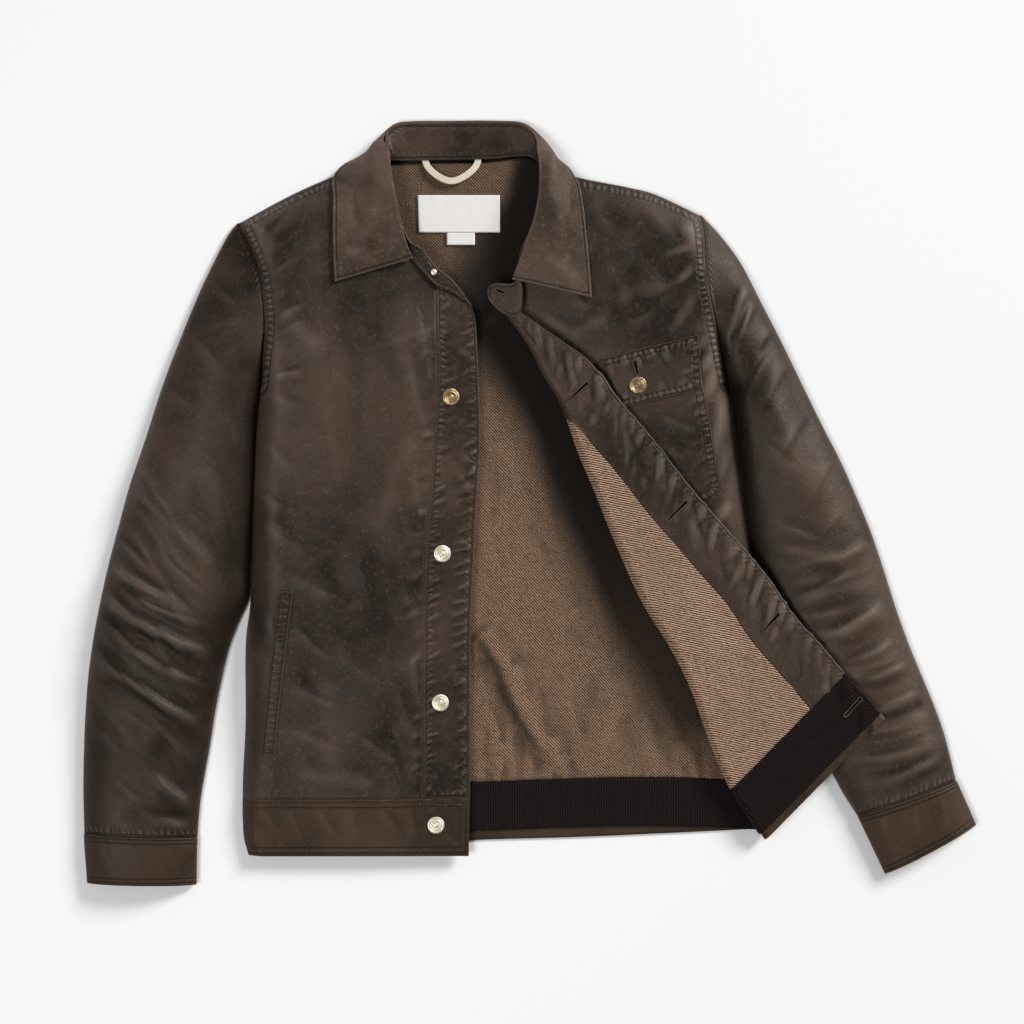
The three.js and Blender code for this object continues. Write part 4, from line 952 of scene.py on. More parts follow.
def left_front(across, s):
    """The canvas of the left front: across is 0 at the side seam, 1 at the foot of the roll, 2 at its top
    and 3 at the free edge, for each row of s."""
    across = np.broadcast_to(across, (len(s), np.shape(across)[-1]))
    c = {name: values[:, None] for name, values in course(s).items()}
    t = np.clip(across, 0, 1)
    px, py = face_up(t, np.clip(s / LAST_PANEL_ROW, 0, 1)[:, None])
    px = np.where(s[:, None] <= LAST_PANEL_ROW, px, lerp(c["side_x"], c["foot_x"], t))
    py = np.where(s[:, None] <= LAST_PANEL_ROW, py, lerp(c["side_y"], c["foot_y"], t))
    flat_part = np.stack([px, py, left_top(px, py)], -1)
    t = np.clip(across - 1, 0, 1)
    way_x, way_y = lerp(c["in_x"], c["out_x"], t), lerp(c["in_y"], c["out_y"], t)
    size = np.hypot(way_x, way_y)
    reach = LAYERS + c["radius"] * (1 - np.sin(np.pi * t))
    roll = np.stack([c["foldX"] + way_x / size * reach, c["foldY"] + way_y / size * reach,
                     lerp(c["low"], c["top"], (1 - np.cos(np.pi * t)) / 2)], -1)
    t = np.clip(across - 2, 0, 1)
    reach = lerp(LAYERS + c["radius"], c["width"], t)
    a, b, d = c["top"], c["mid"], c["edge"]
    x, y = c["foldX"] + c["out_x"] * reach, c["foldY"] + c["out_y"] * reach
    edge = nearest(free_edge, x, y)
    fine = creased(turned_creases, x, y) + puckered(edge["run"], edge["distance"], 15, 14, 0.5, 0.8)
    fine = fine + crumpled(x, y, 30, 0.5, 11) * smoothstep(edge["distance"], 0, 8)
    z = a + t * (4 * b - 3 * a - d) + t * t * (2 * a + 2 * d - 4 * b) + fine * smoothstep(t, 0, 0.25)
    turned_part = np.stack([x, y, z], -1)
    which = across[..., None]
    return np.where(which <= 1, flat_part, np.where(which <= 2, roll, turned_part))


across_left = np.concatenate([steps(72), steps(12, 1, 2)[1:], steps(38, 2, 3)[1:]])
rows_left = steps(236, 0, LAST_PANEL_ROW)
front_left_grid = left_front(across_left, rows_left)
sewn_edge = nearest_to(joined(left_shoulder, left_armhole), front_left_grid)
front_left = wall("left_front", front_left_grid, -SHELL, 0, up=1, sewn=(3, 9.5), run=sewn_edge["run"],
                  beside=np.where(across_left[None, :] <= 1, sewn_edge["distance"], NO_ROW))
dressed(front_left, waxed, ["front_left"])

# Hem band of the left front
# The left end of the hem band rolls over with the front, and shows past the lining at its lower edge.

# The hem band takes up one row of the turned front, which is 58 mm long at the roll
HEM_ROW_LENGTH = 58
HEM_GAP = SEAM / HEM_ROW_LENGTH
rows_hem = steps(30, LAST_PANEL_ROW + HEM_GAP, LAST_ROW)
hem_left = wall("left_hem_band", left_front(across_left, rows_hem), -SHELL, 0, up=1)
dressed(hem_left, waxed_band, ["hem_band_left"])

# Facing of the left front
# A strip of canvas along the free edge faces the front inside and carries the buttonholes. It is 48 mm
# wide, puckered all along by its stitching, and wraps the roll where the turned part is narrower than it.

FACING_WIDTH = 48
FLAT_STEPS = 5
ROLL_STEPS = 6
ALL_STEPS = FLAT_STEPS + ROLL_STEPS
APEX_ROW = 3.5
FACING_SPREAD = 9
PAST_ROLL = 5


def over_roll(s):
    c = course(s)
    flat = c["width"] - LAYERS - c["radius"]
    return flat, flat + np.pi * (c["radius"] + (c["top"] - c["low"]) / 2) / 2


def inward_of_edge(distance, s):
    """Where on the course a distance in from the free edge lies, over the roll and under it."""
    flat, reach = (values[:, None] for values in over_roll(s))
    c = course(s)
    face = np.hypot(c["side_x"] - c["foot_x"], c["side_y"] - c["foot_y"])[:, None]
    under = 1 - (distance - reach) / face
    return np.where(distance <= flat, 3 - distance / flat,
                    np.where(distance <= reach, 2 - (distance - flat) / (reach - flat), under))


def facing_across(step, s):
    flat, reach = (values[:, None] for values in over_roll(s))
    first = np.minimum(FACING_WIDTH, flat)
    on = first * np.minimum(step, FLAT_STEPS) / FLAT_STEPS
    narrow = FACING_WIDTH + FACING_SPREAD * (1 - smoothstep(s, APEX_ROW - 0.7, APEX_ROW + 0.4)[:, None])
    wrapped = np.maximum(reach, first) + PAST_ROLL
    end = lerp(wrapped, np.maximum(narrow, first), smoothstep(s, 2.2, 2.8)[:, None])
    past = lerp(first, end, np.clip((step - FLAT_STEPS) / ROLL_STEPS, 0, 1))
    return inward_of_edge(np.where(step <= FLAT_STEPS, on, past), s)


facing_steps = np.concatenate([steps(30, 0, FLAT_STEPS), steps(18, FLAT_STEPS, ALL_STEPS)[1:]])
facing_rows = steps(330, 0, LAST_PANEL_ROW)
facing_grid = left_front(facing_across(facing_steps[None, :], facing_rows), facing_rows)
on_facing = (facing_steps[None, :-1] < FLAT_STEPS) | (facing_rows[:-1, None] < APEX_ROW + 0.32)
from_free_edge = np.broadcast_to(facing_steps[None, :] * FACING_WIDTH / FLAT_STEPS, facing_grid.shape[:2])
facing = wall("left_facing", facing_grid, -LAYERS - 0.4, -SHELL - LAYER_GAP, keep=on_facing, shown=-1,
              sewn=(2.4, NO_ROW), beside=from_free_edge, pucker=0.45)
dressed(facing, waxed, ["facing_left"])

# Lining of the left front
# The same twill as the back, sewn to the facing, wraps the roll and goes on under the face-up part. Here
# its ribs lie nearly level.

lining_left_cloth = twill_lining("cotton_twill_front", -1.36, "c7a387")
UNDER_ROLL = 14


def round_roll(seam, step, s):
    """From a seam on the turned part to the roll, round it, and a little way under."""
    c = course(s)
    under = UNDER_ROLL / np.hypot(c["side_x"] - c["foot_x"], c["side_y"] - c["foot_y"])[:, None]
    on = lerp(np.broadcast_to(seam, (len(s), 1)), 2, np.clip(step / FLAT_STEPS, 0, 1))
    bend = 2 - np.clip((step - FLAT_STEPS) / ROLL_STEPS, 0, 1)
    past = 1 - np.clip(step - ALL_STEPS, 0, 1) * np.minimum(under, 1)
    return np.where(step <= FLAT_STEPS, on, np.where(step <= ALL_STEPS, bend, past))


lining_left_rows = rows_left[rows_left > APEX_ROW - 0.6]
facing_seam = np.maximum(3 - (FACING_WIDTH + 2 * SEAM) / over_roll(lining_left_rows)[0], 2.01)[:, None]
roll_steps = steps(14, FLAT_STEPS, ALL_STEPS)[1:]
lining_steps = np.concatenate([steps(50, 0, FLAT_STEPS), roll_steps, steps(6, ALL_STEPS, ALL_STEPS + 1)[1:]])
lining_across = round_roll(facing_seam, lining_steps[None, :], lining_left_rows)
lining_left_grid = left_front(lining_across, lining_left_rows)
lining_left = wall("left_twill_lining", lining_left_grid, *OUTSIDE, shown=-1, lay=lining_left_grid[..., :2])
dressed(lining_left, lining_left_cloth, ["lining_left"])

# Corduroy facing of the left hem
# The needlecord runs on across the turned end of the hem band, up to the free edge.

STRIP_ROW = LAST_ROW - 11 / 60
cord_rows = steps(26, LAST_PANEL_ROW + 2 * HEM_GAP, STRIP_ROW)
cord_steps = np.concatenate([steps(70, 0, FLAT_STEPS), roll_steps])
cord_left_grid = left_front(round_roll(3.0, cord_steps[None, :], cord_rows), cord_rows)
cord_left = wall("left_corduroy", cord_left_grid, *OUTSIDE, shown=-1)
dressed(cord_left, cord_cloth, ["hem_facing_left"])

# Breast pocket
# A patch pocket on the left chest, sewn down all round, with a deep buttoned band across its top.

EASE = 0.7
pocket_flat = plan(
    straight((68, 141.5), (166, 164)), walker(table("x y", [[104, 6], [150, -14], [173, 1], [188, 12]])),
    walker(drawn("x y", [[68, 141.5], [84, 80], [104, 6]])),
    walker(drawn("x y", [[166, 164], [172, 116], [179, 79], [184, 42], [188, 12]])),
)
pocket_side = drawn("x y", [[166, 164], [172, 116], [179, 79], [184, 42], [188, 12], [173, 1]])
pocket_creases = gathers(pocket_side, -3, 20, 16, 0.3, 3, 0.8, 7) + [
    (120, 60, 160, 40, 5, 1.0), (110, 40, 150, 10, 5, 1.0), (130, 84, 166, 70, 4, 0.9),
    (124, 20, 160, -4, 5, 0.9),
]


def pocket_top(x, y):
    side = nearest(pocket_side, x, y)
    puckers = puckered(side["run"], np.abs(side["distance"] - 5), 7, 4, 0.4, 1.1)
    return left_top(x, y) + creased(pocket_creases, x, y) + puckers


pocket_grid = lying(pocket_flat, pocket_top, steps(64), steps(96))
pocket_sewn = nearest_to(pocket_side, pocket_grid)
pocket = wall("breast_patch_pocket", pocket_grid, EASE, EASE + LINING, sewn=(1.8, 8.5),
              beside=pocket_sewn["distance"], run=pocket_sewn["run"], pucker=0.8)
dressed(pocket, waxed, ["breast_pocket"])
band_flat = plan(
    straight((72, 143), (167, 166)), straight((93, 94), (171, 113)), straight((72, 143), (93, 94)),
    straight((167, 166), (171, 113)),
)
ON_POCKET = EASE + LINING + SEAM
band_line = drawn("x y", [[72, 143], [167, 166]])
band_foot = drawn("x y", [[93, 94], [171, 113]])
band_creases = gathers(band_line, -2, 13, 16, 0.2, 2.6, 0.9, 8)
band_creases += gathers(band_foot, 2, 9, 12, 0.2, 2.6, 0.8, 9)


def band_top(x, y):
    return pocket_top(x, y) + creased(band_creases, x, y)


# Its left side is out of sight under the turned front, so the stitching shows on the other three sides
band_grid = lying(band_flat, band_top, steps(64), steps(40))
band_sides = joined(band_line, drawn("x y", [[167, 166], [171, 113]]), backwards(band_foot))
band_sewn = nearest_to(band_sides, band_grid)
flap = wall("pocket_band", band_grid, ON_POCKET, ON_POCKET + LINING, sewn=(1.8, 7),
            beside=band_sewn["distance"], run=band_sewn["run"], pucker=0.8)
dressed(flap, waxed, ["pocket_flap"])

# Sleeves
# Each sleeve is a tube of canvas, flat below where it lies on the surface and softly domed above, set
# into the armhole. Creases fan out over the elbow and a few press in above the cuff.

SLEEVE = "outX outY inX inY height seam"
right_sleeve = table(SLEEVE, [
    [-291, 279.8, -270.2, 116, 26, 1], [-303, 263, -268.5, 98, 28, 0.85], [-326, 217, -272, 68, 30, 0.6],
    [-347, 167, -272.5, 32, 32, 0.4], [-366, 117, -273.6, -2, 33, 0.25], [-383, 64, -275.4, -35, 33, 0.1],
    [-398, 20, -277.9, -66, 33, 0], [-409, -20, -279.4, -95, 33, 0], [-419, -58, -291, -122, 34, 0],
    [-428, -98, -300, -148, 34, 0], [-435, -135, -307, -178, 32, 0], [-440, -172, -313, -208, 30, 0],
    [-443, -212, -318, -240, 29, 0], [-444.5, -250, -323, -268, 27, 0], [-445, -288, -328, -298, 26, 0],
    [-444, -329, -331, -333, 24, 0],
])
left_sleeve = table(SLEEVE, [
    [171.6, 287.6, 199.9, 118, 26, 1], [190, 268, 203, 96, 28, 0.85], [211, 240, 207.5, 76, 30, 0.6],
    [232, 200, 208.5, 52, 31, 0.4], [252, 161, 211.3, 26, 31, 0.25], [272, 120, 214.5, -2, 30, 0.1],
    [293, 77, 218.9, -32, 29, 0], [311, 42, 225, -60, 28, 0], [327, 6, 236.5, -90, 27, 0],
    [341, -28, 246, -120, 26, 0], [354, -66, 257, -150, 26, 0], [367, -107, 268, -180, 26, 0],
    [380, -143, 279, -210, 26, 0], [392, -172, 290, -239, 26, 0], [404, -201, 301, -266, 25, 0],
    [415, -232, 313, -289, 24, 0], [426, -276, 327, -311, 23, 0],
])
right_sleeve_folds = [
    (-415, -57, -329, -117, 9, 3.4), (-419, -97, -314, -157, 9, 3.4), (-424, -127, -329, -197, 9, 3.0),
    (-429, -157, -319, -227, 9, 2.8), (-374, -277, -331, -305, 9, 2.6), (-399, -307, -329, -312, 8, -2.2),
    (-289, 173, -282, 128, 10, -3), (-340, 200, -350, 60, 18, -4), (-380, 90, -395, -20, 14, 3),
    (-330, 20, -300, -90, 14, -3.5), (-440, -100, -400, -120, 7, -3), (-360, -230, -345, -300, 12, -3),
]
left_sleeve_folds = [
    (219, 221, 195, 158, 8, 5), (216, 203, 199, 153, 5, -4), (201, 103, 236, 163, 12, -4),
    (268, -103, 321, -77, 8, 2.2), (301, -139, 356, -107, 9, 2.4), (316, -172, 361, -152, 8, 2.2),
    (246, -43, 310, -58, 8, 2.0), (260, 140, 285, 60, 16, -3), (240, 100, 270, 10, 16, 3.5),
    (345, -215, 400, -200, 9, -1.8), (340, -262, 408, -236, 10, 2.0),
]
right_sleeve_creases = [
    (-414, -30, -372, -70, 4, 1.6), (-420, -62, -350, -96, 4, 2.0), (-402, -88, -326, -122, 4, 2.1),
    (-424, -84, -380, -128, 4, 1.7), (-396, -112, -318, -150, 4, 2.2), (-420, -120, -370, -160, 4, 1.8),
    (-392, -146, -322, -184, 4, 2.1), (-412, -160, -356, -204, 4, 1.7), (-380, -186, -328, -220, 4, 1.7),
    (-434, -140, -404, -176, 4, 1.3), (-372, -40, -322, -92, 4, 1.4), (-400, 30, -352, -10, 6, 1.0),
    (-380, -262, -334, -304, 4, 2.0), (-414, -270, -380, -300, 5, 1.1), (-398, -300, -338, -326, 4, 1.5),
    (-432, -222, -400, -252, 5, 1.1), (-372, 120, -330, 90, 7, 0.8), (-340, 170, -296, 120, 7, 1.0),
    (-322, 226, -286, 190, 6, 0.9), (-304, 100, -286, 40, 5, 1.1), (-318, 44, -288, -40, 6, 1.1),
    (-360, -228, -330, -262, 5, 1.0),
]
left_sleeve_creases = [
    (228, 210, 200, 150, 5, 2.0), (244, 186, 214, 126, 5, 1.8), (236, 150, 210, 96, 5, 1.7),
    (262, 150, 226, 92, 6, 1.3), (280, 96, 240, 40, 6, 1.2), (232, 60, 262, 30, 5, 1.0),
    (262, -96, 318, -70, 4, 1.7), (296, -132, 352, -100, 4, 1.9), (318, -158, 362, -138, 4, 1.8),
    (328, -178, 378, -160, 4, 1.7), (300, -60, 336, -40, 5, 1.2), (244, -20, 292, -40, 5, 1.2),
    (346, -202, 392, -188, 4, 1.5), (330, -240, 402, -226, 5, 1.4), (352, -276, 414, -250, 4, 1.5),
    (262, 200, 240, 160, 7, 0.9), (300, 44, 270, -4, 7, 1.0), (312, -4, 284, -34, 6, 1.0),
]

elbow_right = drawn("x y", [[-296, -50], [-306, -120], [-318, -200], [-326, -268]])
elbow_left = drawn("x y", [[232, -60], [262, -140], [292, -220], [312, -280]])
right_sleeve_creases += gathers(elbow_right, -14, 15, 84, -0.9, 4.5, 1.1, 17)
right_sleeve_creases += gathers(elbow_right, -60, 12, 60, -0.7, 4, 0.9, 18)
left_sleeve_creases += gathers(elbow_left, 16, 15, 74, 0.2, 4, 0.8, 19)


# How evenly the points go over a sleeve, how flat its dome is on top and how round at its edges
EVENNESS = 0.55
DOME_FLATNESS = 2.4
DOME_ROUNDNESS = 0.75


def tube_grid(rows, armhole, folds, creases, edge, count, over_count, seed):
    """Rings across a sleeve: over the top from the outer edge to the inner, and back along the floor."""
    s = steps(count, 0, len(rows["height"]) - 1)
    r = {name: values[:, None] for name, values in along(rows, s).items()}
    over = (1 - np.cos(np.pi * steps(over_count))) / 2
    over = lerp(over, steps(over_count), EVENNESS)
    span = np.hypot(r["inX"] - r["outX"], r["inY"] - r["outY"])
    angle = np.linspace(0, np.pi / 2, 5)[1:]
    corner = (1 - np.cos(angle))[None, :] * edge / span
    floor_run = lerp(1 - edge / span, edge / span, steps(12)[None, 1:-1])
    over_rows = np.broadcast_to(over, (len(s), len(over)))
    ts = np.concatenate([over_rows, 1 - corner, floor_run, corner[:, ::-1]], 1)
    seam, ends = armhole(ts), [armhole(np.array([t])) for t in (0.0, 1.0)]
    bulge = {key: seam[key] - lerp(ends[0][key], ends[1][key], ts) for key in "xy"}
    x, y = (lerp(r["out" + key.upper()], r["in" + key.upper()], ts) + bulge[key] * r["seam"] for key in "xy")
    dome = np.maximum(1 - np.abs(2 * ts - 1) ** DOME_FLATNESS, 0) ** DOME_ROUNDNESS
    own = edge + (r["height"] - edge) * dome
    edges = smoothstep(np.minimum(ts, 1 - ts), 0, 0.16)
    wrinkle = (folded(folds, x, y) + creased(creases, x, y) + crumpled(x, y, 40, 0.35, seed)) * edges
    z = lerp(own + wrinkle, seam["z"], r["seam"] ** 2)
    top = len(over)
    turn = len(angle)
    z[:, top:top + turn] = z[:, top - 1:top] * (1 - np.sin(angle))[None, :]
    z[:, top + turn:-turn] = 0
    z[:, -turn:] = z[:, :1] * (1 - np.sin(angle))[::-1][None, :]
    return np.stack([x, y, z], -1)


# This sleeve is darker towards its cuff, and both sleeves are darkened with painted shade where they lie
# against the body
right_tube = tube_grid(right_sleeve, walker(right_armhole), right_sleeve_folds, right_sleeve_creases,
                       4, 240, 78, 21)
right_sleeve_darkening_and_shade = 0.7 * (1 - smoothstep(right_tube[..., 1], -330, 60))
inner_right = drawn("x y", [[-276, 130], [-278, 40], [-282, -60], [-300, -140]])
against = nearest_to(inner_right, right_tube)["distance"]
right_sleeve_darkening_and_shade = np.maximum(right_sleeve_darkening_and_shade, 0.85 * (1 - smoothstep(against, 6, 48)))
sleeve_right = wall("right_sleeve", right_tube, -SHELL, 0, ring=True, sewn=(1.5, NO_ROW),
                    pucker=0.6, shade_and_darkening=right_sleeve_darkening_and_shade)
dressed(sleeve_right, waxed, ["sleeve_right"])
left_tube = tube_grid(left_sleeve, walker(left_armhole), left_sleeve_folds, left_sleeve_creases,
                      4, 240, 78, 22)
inner_left = drawn("x y", [[206, 110], [214, 10], [236, -80], [268, -170]])
against = nearest_to(inner_left, left_tube)["distance"]
sleeve_left = wall("left_sleeve", left_tube, -SHELL, 0, ring=True, up=1, sewn=(1.5, NO_ROW), pucker=0.6,
                   shade_and_darkening=0.85 * (1 - smoothstep(against, 4, 44)))
dressed(sleeve_left, waxed, ["sleeve_left"])

# Cuffs
# Plain closed cuffs of the browner doubled canvas, sewn on the sleeves with two rows of stitching.

right_cuff = table(SLEEVE, [
    [-444.3, -329.5, -330.6, -333.5, 25, 0], [-443.5, -345, -331, -349, 24, 0],
    [-442, -364, -331.3, -367, 23, 0], [-441, -379, -331.5, -380.5, 22, 0],
])
left_cuff = table(SLEEVE, [
    [426.3, -276.6, 327.3, -311.6, 24, 0], [433, -291, 336, -330, 23, 0],
    [441, -309, 347, -353, 22, 0], [446, -321, 355, -370, 21, 0],
])
cuff_right_creases = [
    (-430, -336, -412, -370, 5, 0.7), (-396, -334, -384, -372, 5, 0.8), (-366, -336, -350, -368, 5, 0.8),
]
cuff_left_creases = [
    (410, -290, 414, -330, 5, 0.8), (380, -300, 388, -344, 5, 0.8), (352, -314, 362, -352, 5, 0.7),
]
CUFF = 2
right_cuff_tube = tube_grid(right_cuff, walker(right_armhole), [], cuff_right_creases, 6, 26, 84, 23)
# The right cuff is darkened like the lower right sleeve
cuff_right = wall("right_cuff", right_cuff_tube, -CUFF, 0, ring=True, sewn=(2.4, 6.5),
                  pucker=0.3, shade_and_darkening=0.4)
dressed(cuff_right, waxed_band, ["cuff_right"])
left_cuff_tube = tube_grid(left_cuff, walker(left_armhole), [], cuff_left_creases, 6, 26, 84, 24)
cuff_left = wall("left_cuff", left_cuff_tube, -CUFF, 0, ring=True, up=1, sewn=(2.4, 6.5), pucker=0.3)
dressed(cuff_left, waxed_band, ["cuff_left"])

# Collar
# The collar's fall turns down over both shoulders into two pointed leaves, and behind the neck it is folded
# under the back. Inside it the stand rises from the neck seam.

fall = table("seamX seamY seamZ browX browY browZ endX endY endZ tuck", [
    [-115, 242, 27, -134, 236, 29, -192, 218.5, 30.5, 0],
    [-121, 257, 29, -138, 253, 30.5, -193, 240, 29.5, 0],
    [-128, 280, 31, -143, 278, 31, -194, 270, 26.5, 0],
    [-133, 305, 31, -146, 304, 30, -194, 300, 20.5, 0],
    [-138, 332, 28, -151, 333, 26, -194, 326.5, 10.5, 0],
    [-140, 350, 23, -155, 355, 17, -176, 342, 1.6, 0.25],
    [-145, 363.5, 14, -148, 365.5, 11, -152, 328, 0, 0.9],
    [-134, 376, 9, -134.5, 377.5, 7.5, -133, 323, 0, 1],
    [-118, 378.5, 6.6, -118, 380.5, 5.5, -116, 321, 0, 1],
    [-75, 379, 6, -75, 381, 5, -75, 320, 0, 1],
    [-30, 379, 6, -30, 381, 5, -32, 321, 0, 1],
    [-6, 376.5, 9, -5, 378.5, 7, -12, 322, 0, 1],
    [8, 364, 13.5, 12, 365.5, 11, 12, 326, 0, 0.9],
    [9, 350, 22, 23, 350, 16, 34, 339, 1.6, 0.25],
    [11, 332, 27, 24, 333, 26, 48, 321, 10.5, 0],
    [10, 306, 31, 22, 306, 30, 53, 298, 20.5, 0],
    [5, 280, 31, 19, 279, 31, 56, 270, 26.5, 0],
    [-5, 253, 29.5, 12, 250, 30.5, 59, 240, 29.5, 0],
    [-17, 221, 27, 2, 217, 29, 62, 203, 30, 0],
])
FALL_ROWS = 18
STAND_ROWS = 22
NECK_MIDDLE = -65
LEAF_EASE = 2.4
TURN_IN = 0.09


def fall_grid(us, vs):
    r = {name: values[:, None] for name, values in along(fall, vs).items()}
    seam, brow, end = (np.stack([r[part + axis] for axis in "XYZ"], -1) for part in ("seam", "brow", "end"))
    end = np.maximum(end, [-1e9, -1e9, 0])
    tuck = np.clip(r["tuck"], 0, 1)[..., None]
    turn = lerp(lerp(brow, end, 0.5), lerp(brow, end, TURN_IN) * [1, 1, 0], tuck)
    points = [seam, brow, turn, end]
    s = us * 3
    i = np.clip(np.floor(s).astype(int), 0, 2)
    columns = []
    for k, f in zip(i, s - i):
        a, b, c, d = (points[min(max(k + j, 0), 3)][:, 0] for j in (-1, 0, 1, 2))
        columns.append(catmull(a, b, c, d, f))
    grid = np.stack(columns, 1)
    x, y, z = grid[..., 0], grid[..., 1], grid[..., 2]
    fine = crumpled(x, y, 30, 0.5, 31) + folded(collar_folds, x, y)
    chest = np.where(x < NECK_MIDDLE, right_top(x, y), left_top(x, y)) + SHELL + LEAF_EASE
    low = lerp(chest, 0, smoothstep(r["tuck"], 0, 0.1))
    grid[..., 2] = np.maximum(z, low) + np.maximum(fine, 0) * (1 - smoothstep(r["tuck"], 0, 0.4))
    return grid


collar_folds = [
    (-150, 300, -176, 240, 10, 1.2), (-186, 250, -150, 236, 8, 0.9), (20, 320, 40, 250, 10, 1.2),
    (16, 246, 50, 220, 8, 1.0), (-160, 346, -180, 310, 9, 1.0),
]
# The wax has worn thin on the collar, which is paler and browner than the rest
waxed_collar = waxed_cotton("waxed_canvas_of_collar", "30251d", "574840", "94857a", "5f4b3b", 0.5)
collar_grid = fall_grid(steps(40), steps(260, 0, FALL_ROWS))
leaf_u, leaf_v, _, leaf_run = measured(collar_grid)
leaf_edge = np.minimum(leaf_u[:, -1:] - leaf_u, np.minimum(leaf_v, leaf_v[-1:] - leaf_v))
collar = wall("collar_leaves", collar_grid, -SHELL, 0, sewn=(3, NO_ROW),
              beside=leaf_edge, run=leaf_run, pucker=0.3)
dressed(collar, waxed_collar, ["collar_fall"])

stand = table("neckX neckY neckZ topX topY topZ", [
    [-64, 202, 14.5, -57, 196, 15], [-78, 211, 15.6, -74, 219, 16.6], [-94, 217.5, 18.2, -93, 235, 20],
    [-110, 237, 22, -107, 252, 24.5], [-121, 254, 23.6, -117, 259, 27], [-130, 275, 23, -125, 279, 29],
    [-140, 300, 18.4, -130.5, 304, 29], [-146, 324, 13, -135.5, 331, 26],
    [-144, 339, 9.8, -137.5, 349, 21], [-137, 341, 9, -136.5, 359, 17], [-124, 341, 8.4, -128, 366, 12.4],
    [-100, 341.5, 8.2, -102, 368.4, 9.4], [-73, 342, 8.2, -73, 369.4, 8.8],
    [-36, 343, 8.2, -36, 369.4, 8.8], [-12, 345.5, 8.4, -12, 366, 11.6], [2, 345, 9, 0.6, 359, 17],
    [12, 337, 9.8, 6.6, 349, 21], [17, 318, 13.4, 8.6, 331, 26], [14, 293, 19, 7.6, 304, 29],
    [6, 268, 23.4, 2.4, 279, 29], [-5, 243, 23.6, -8.5, 253, 27.4], [-10, 186, 27, -13, 219, 28],
    [-41, 196, 26, -42, 219.5, 26],
])
stand_s, stand_t = steps(260, 0, STAND_ROWS), steps(14)
stand_rows = {name: values[:, None] for name, values in along(stand, stand_s).items()}
stand_grid = np.stack([
    lerp(stand_rows["neck" + axis], stand_rows["top" + axis], stand_t[None, :]) for axis in "XYZ"
], -1)
# The stand's upper edge meets the seam of the fall, and its left end is a rounded tab over the neck seam
fall_rows = along(fall, steps(300, 0, FALL_ROWS))
fall_seam = {axis: fall_rows["seam" + axis.upper()] for axis in "xyz"}
meet = nearest(fall_seam, stand_grid[:, -1, 0], stand_grid[:, -1, 1])
goal = np.stack([meet["x"], meet["y"], meet["z"] + 0.2], -1)[:, None, :]
joins = (smoothstep(stand_s, 3.4, 5) * (1 - smoothstep(stand_s, 19.6, 20.6)))[:, None, None]
stand_grid = stand_grid + (goal - stand_grid[:, -1:, :]) * joins * stand_t[None, :, None] ** 1.5
TAB_START = 21.45
TAB_ROWS = 0.55
tab_end = np.sqrt(np.clip(1 - np.clip((stand_s - TAB_START) / TAB_ROWS, 0, 1) ** 2, 0.03, 1))[:, None, None]
middle = stand_grid.mean(1, keepdims=True)
stand_grid = middle + (stand_grid - middle) * tab_end
collar_stand = wall("collar_stand_band", stand_grid, -SHELL, 0, up=1, sewn=(3, NO_ROW), pucker=0.4)
dressed(collar_stand, waxed, ["collar_stand"])

# Hanger loop, label and size tab
# A loop of cream cotton tape is caught in the neck seam. Below it a white woven label and a small size
# tab are sewn flat on the lining, with nothing on them.


def soft_tape(name, colour, shade, pitch, sheen):
    """Pale woven tape or satin, whose fine ribs only just show."""
    made, tree = finish_of(name)
    lie = node(tree, "UVMap", uv_map="cloth")["UV"]
    rib = node(tree, "TexWave", {"Vector": lie, "Scale": 0.3183 / pitch, "Distortion": 0.8},
               bands_direction="Y")["Fac"]
    woven = mixed(tree, 0.5, rib, noise(tree, node(tree, "TexCoord")["Object"], 160.0, 4.0))
    tone = tinted(tree, linear(shade), (woven, 0.35, 0.7, 0.8, colour))
    surfaced(tree, {"Base Color": tone, "Roughness": 0.7, "Sheen Weight": sheen, "Specular IOR Level": 0.3},
             woven, 0.3, 0.0003)
    return made


cotton_tape = soft_tape("herringbone_cotton_tape", "e4dacb", "cbbda9", 0.0011, 0.2)
satin = soft_tape("woven_label_satin", "f1efeb", "dfdcd6", 0.0009, 0.1)
loop_line = drawn("x y z", [
    [-104, 345, 6.6], [-101, 335, 8.2], [-90, 325, 9.6], [-77, 320.5, 10], [-64, 325.5, 9.6],
    [-53, 335.5, 8.2], [-50, 346, 6.6],
])
loop_at = walker(loop_line)
loop_t = steps(90)
loop_point, loop_before, loop_after = loop_at(loop_t), loop_at(loop_t - 0.02), loop_at(loop_t + 0.02)
loop_way = np.stack([loop_after["x"] - loop_before["x"], loop_after["y"] - loop_before["y"]], -1)
loop_way = loop_way / np.linalg.norm(loop_way, axis=-1, keepdims=True)
loop_aside = (steps(8) - 0.5)[None, :] * 6.5
loop_grid = np.stack([loop_point["x"][:, None] - loop_way[:, 1:] * loop_aside,
                      loop_point["y"][:, None] + loop_way[:, :1] * loop_aside,
                      np.broadcast_to(loop_point["z"][:, None], (len(loop_t), 9))], -1)
loop = wall("hanger_loop_tape", loop_grid, -LINING, 0, up=1)
dressed(loop, cotton_tape, ["hanger_loop"])


def patch(a, b, c, d):
    return plan(straight(a, b), straight(c, d), straight(a, c), straight(b, d))


label_flat = patch((-111, 307), (-29, 307), (-110, 270), (-29, 270))
label = wall("neck_label", lying(label_flat, lining_top, steps(50), steps(24)), EASE, EASE + 1)
dressed(label, satin, ["label"])
tab_flat = patch((-82, 269.6), (-54, 269.6), (-82, 257.5), (-54, 257.5))
tab = wall("size_tab_blank", lying(tab_flat, lining_top, steps(16), steps(8)), EASE + 0.4, EASE + 1.4)
dressed(tab, satin, ["size_tab"])

# Buttons
# Tack buttons: a stamped brass cap with a rounded rim, a sunk ring and the head of the rivet in the middle.
# The four down the front and the one on the pocket are 17 mm across, and the neck's stud is a small one.


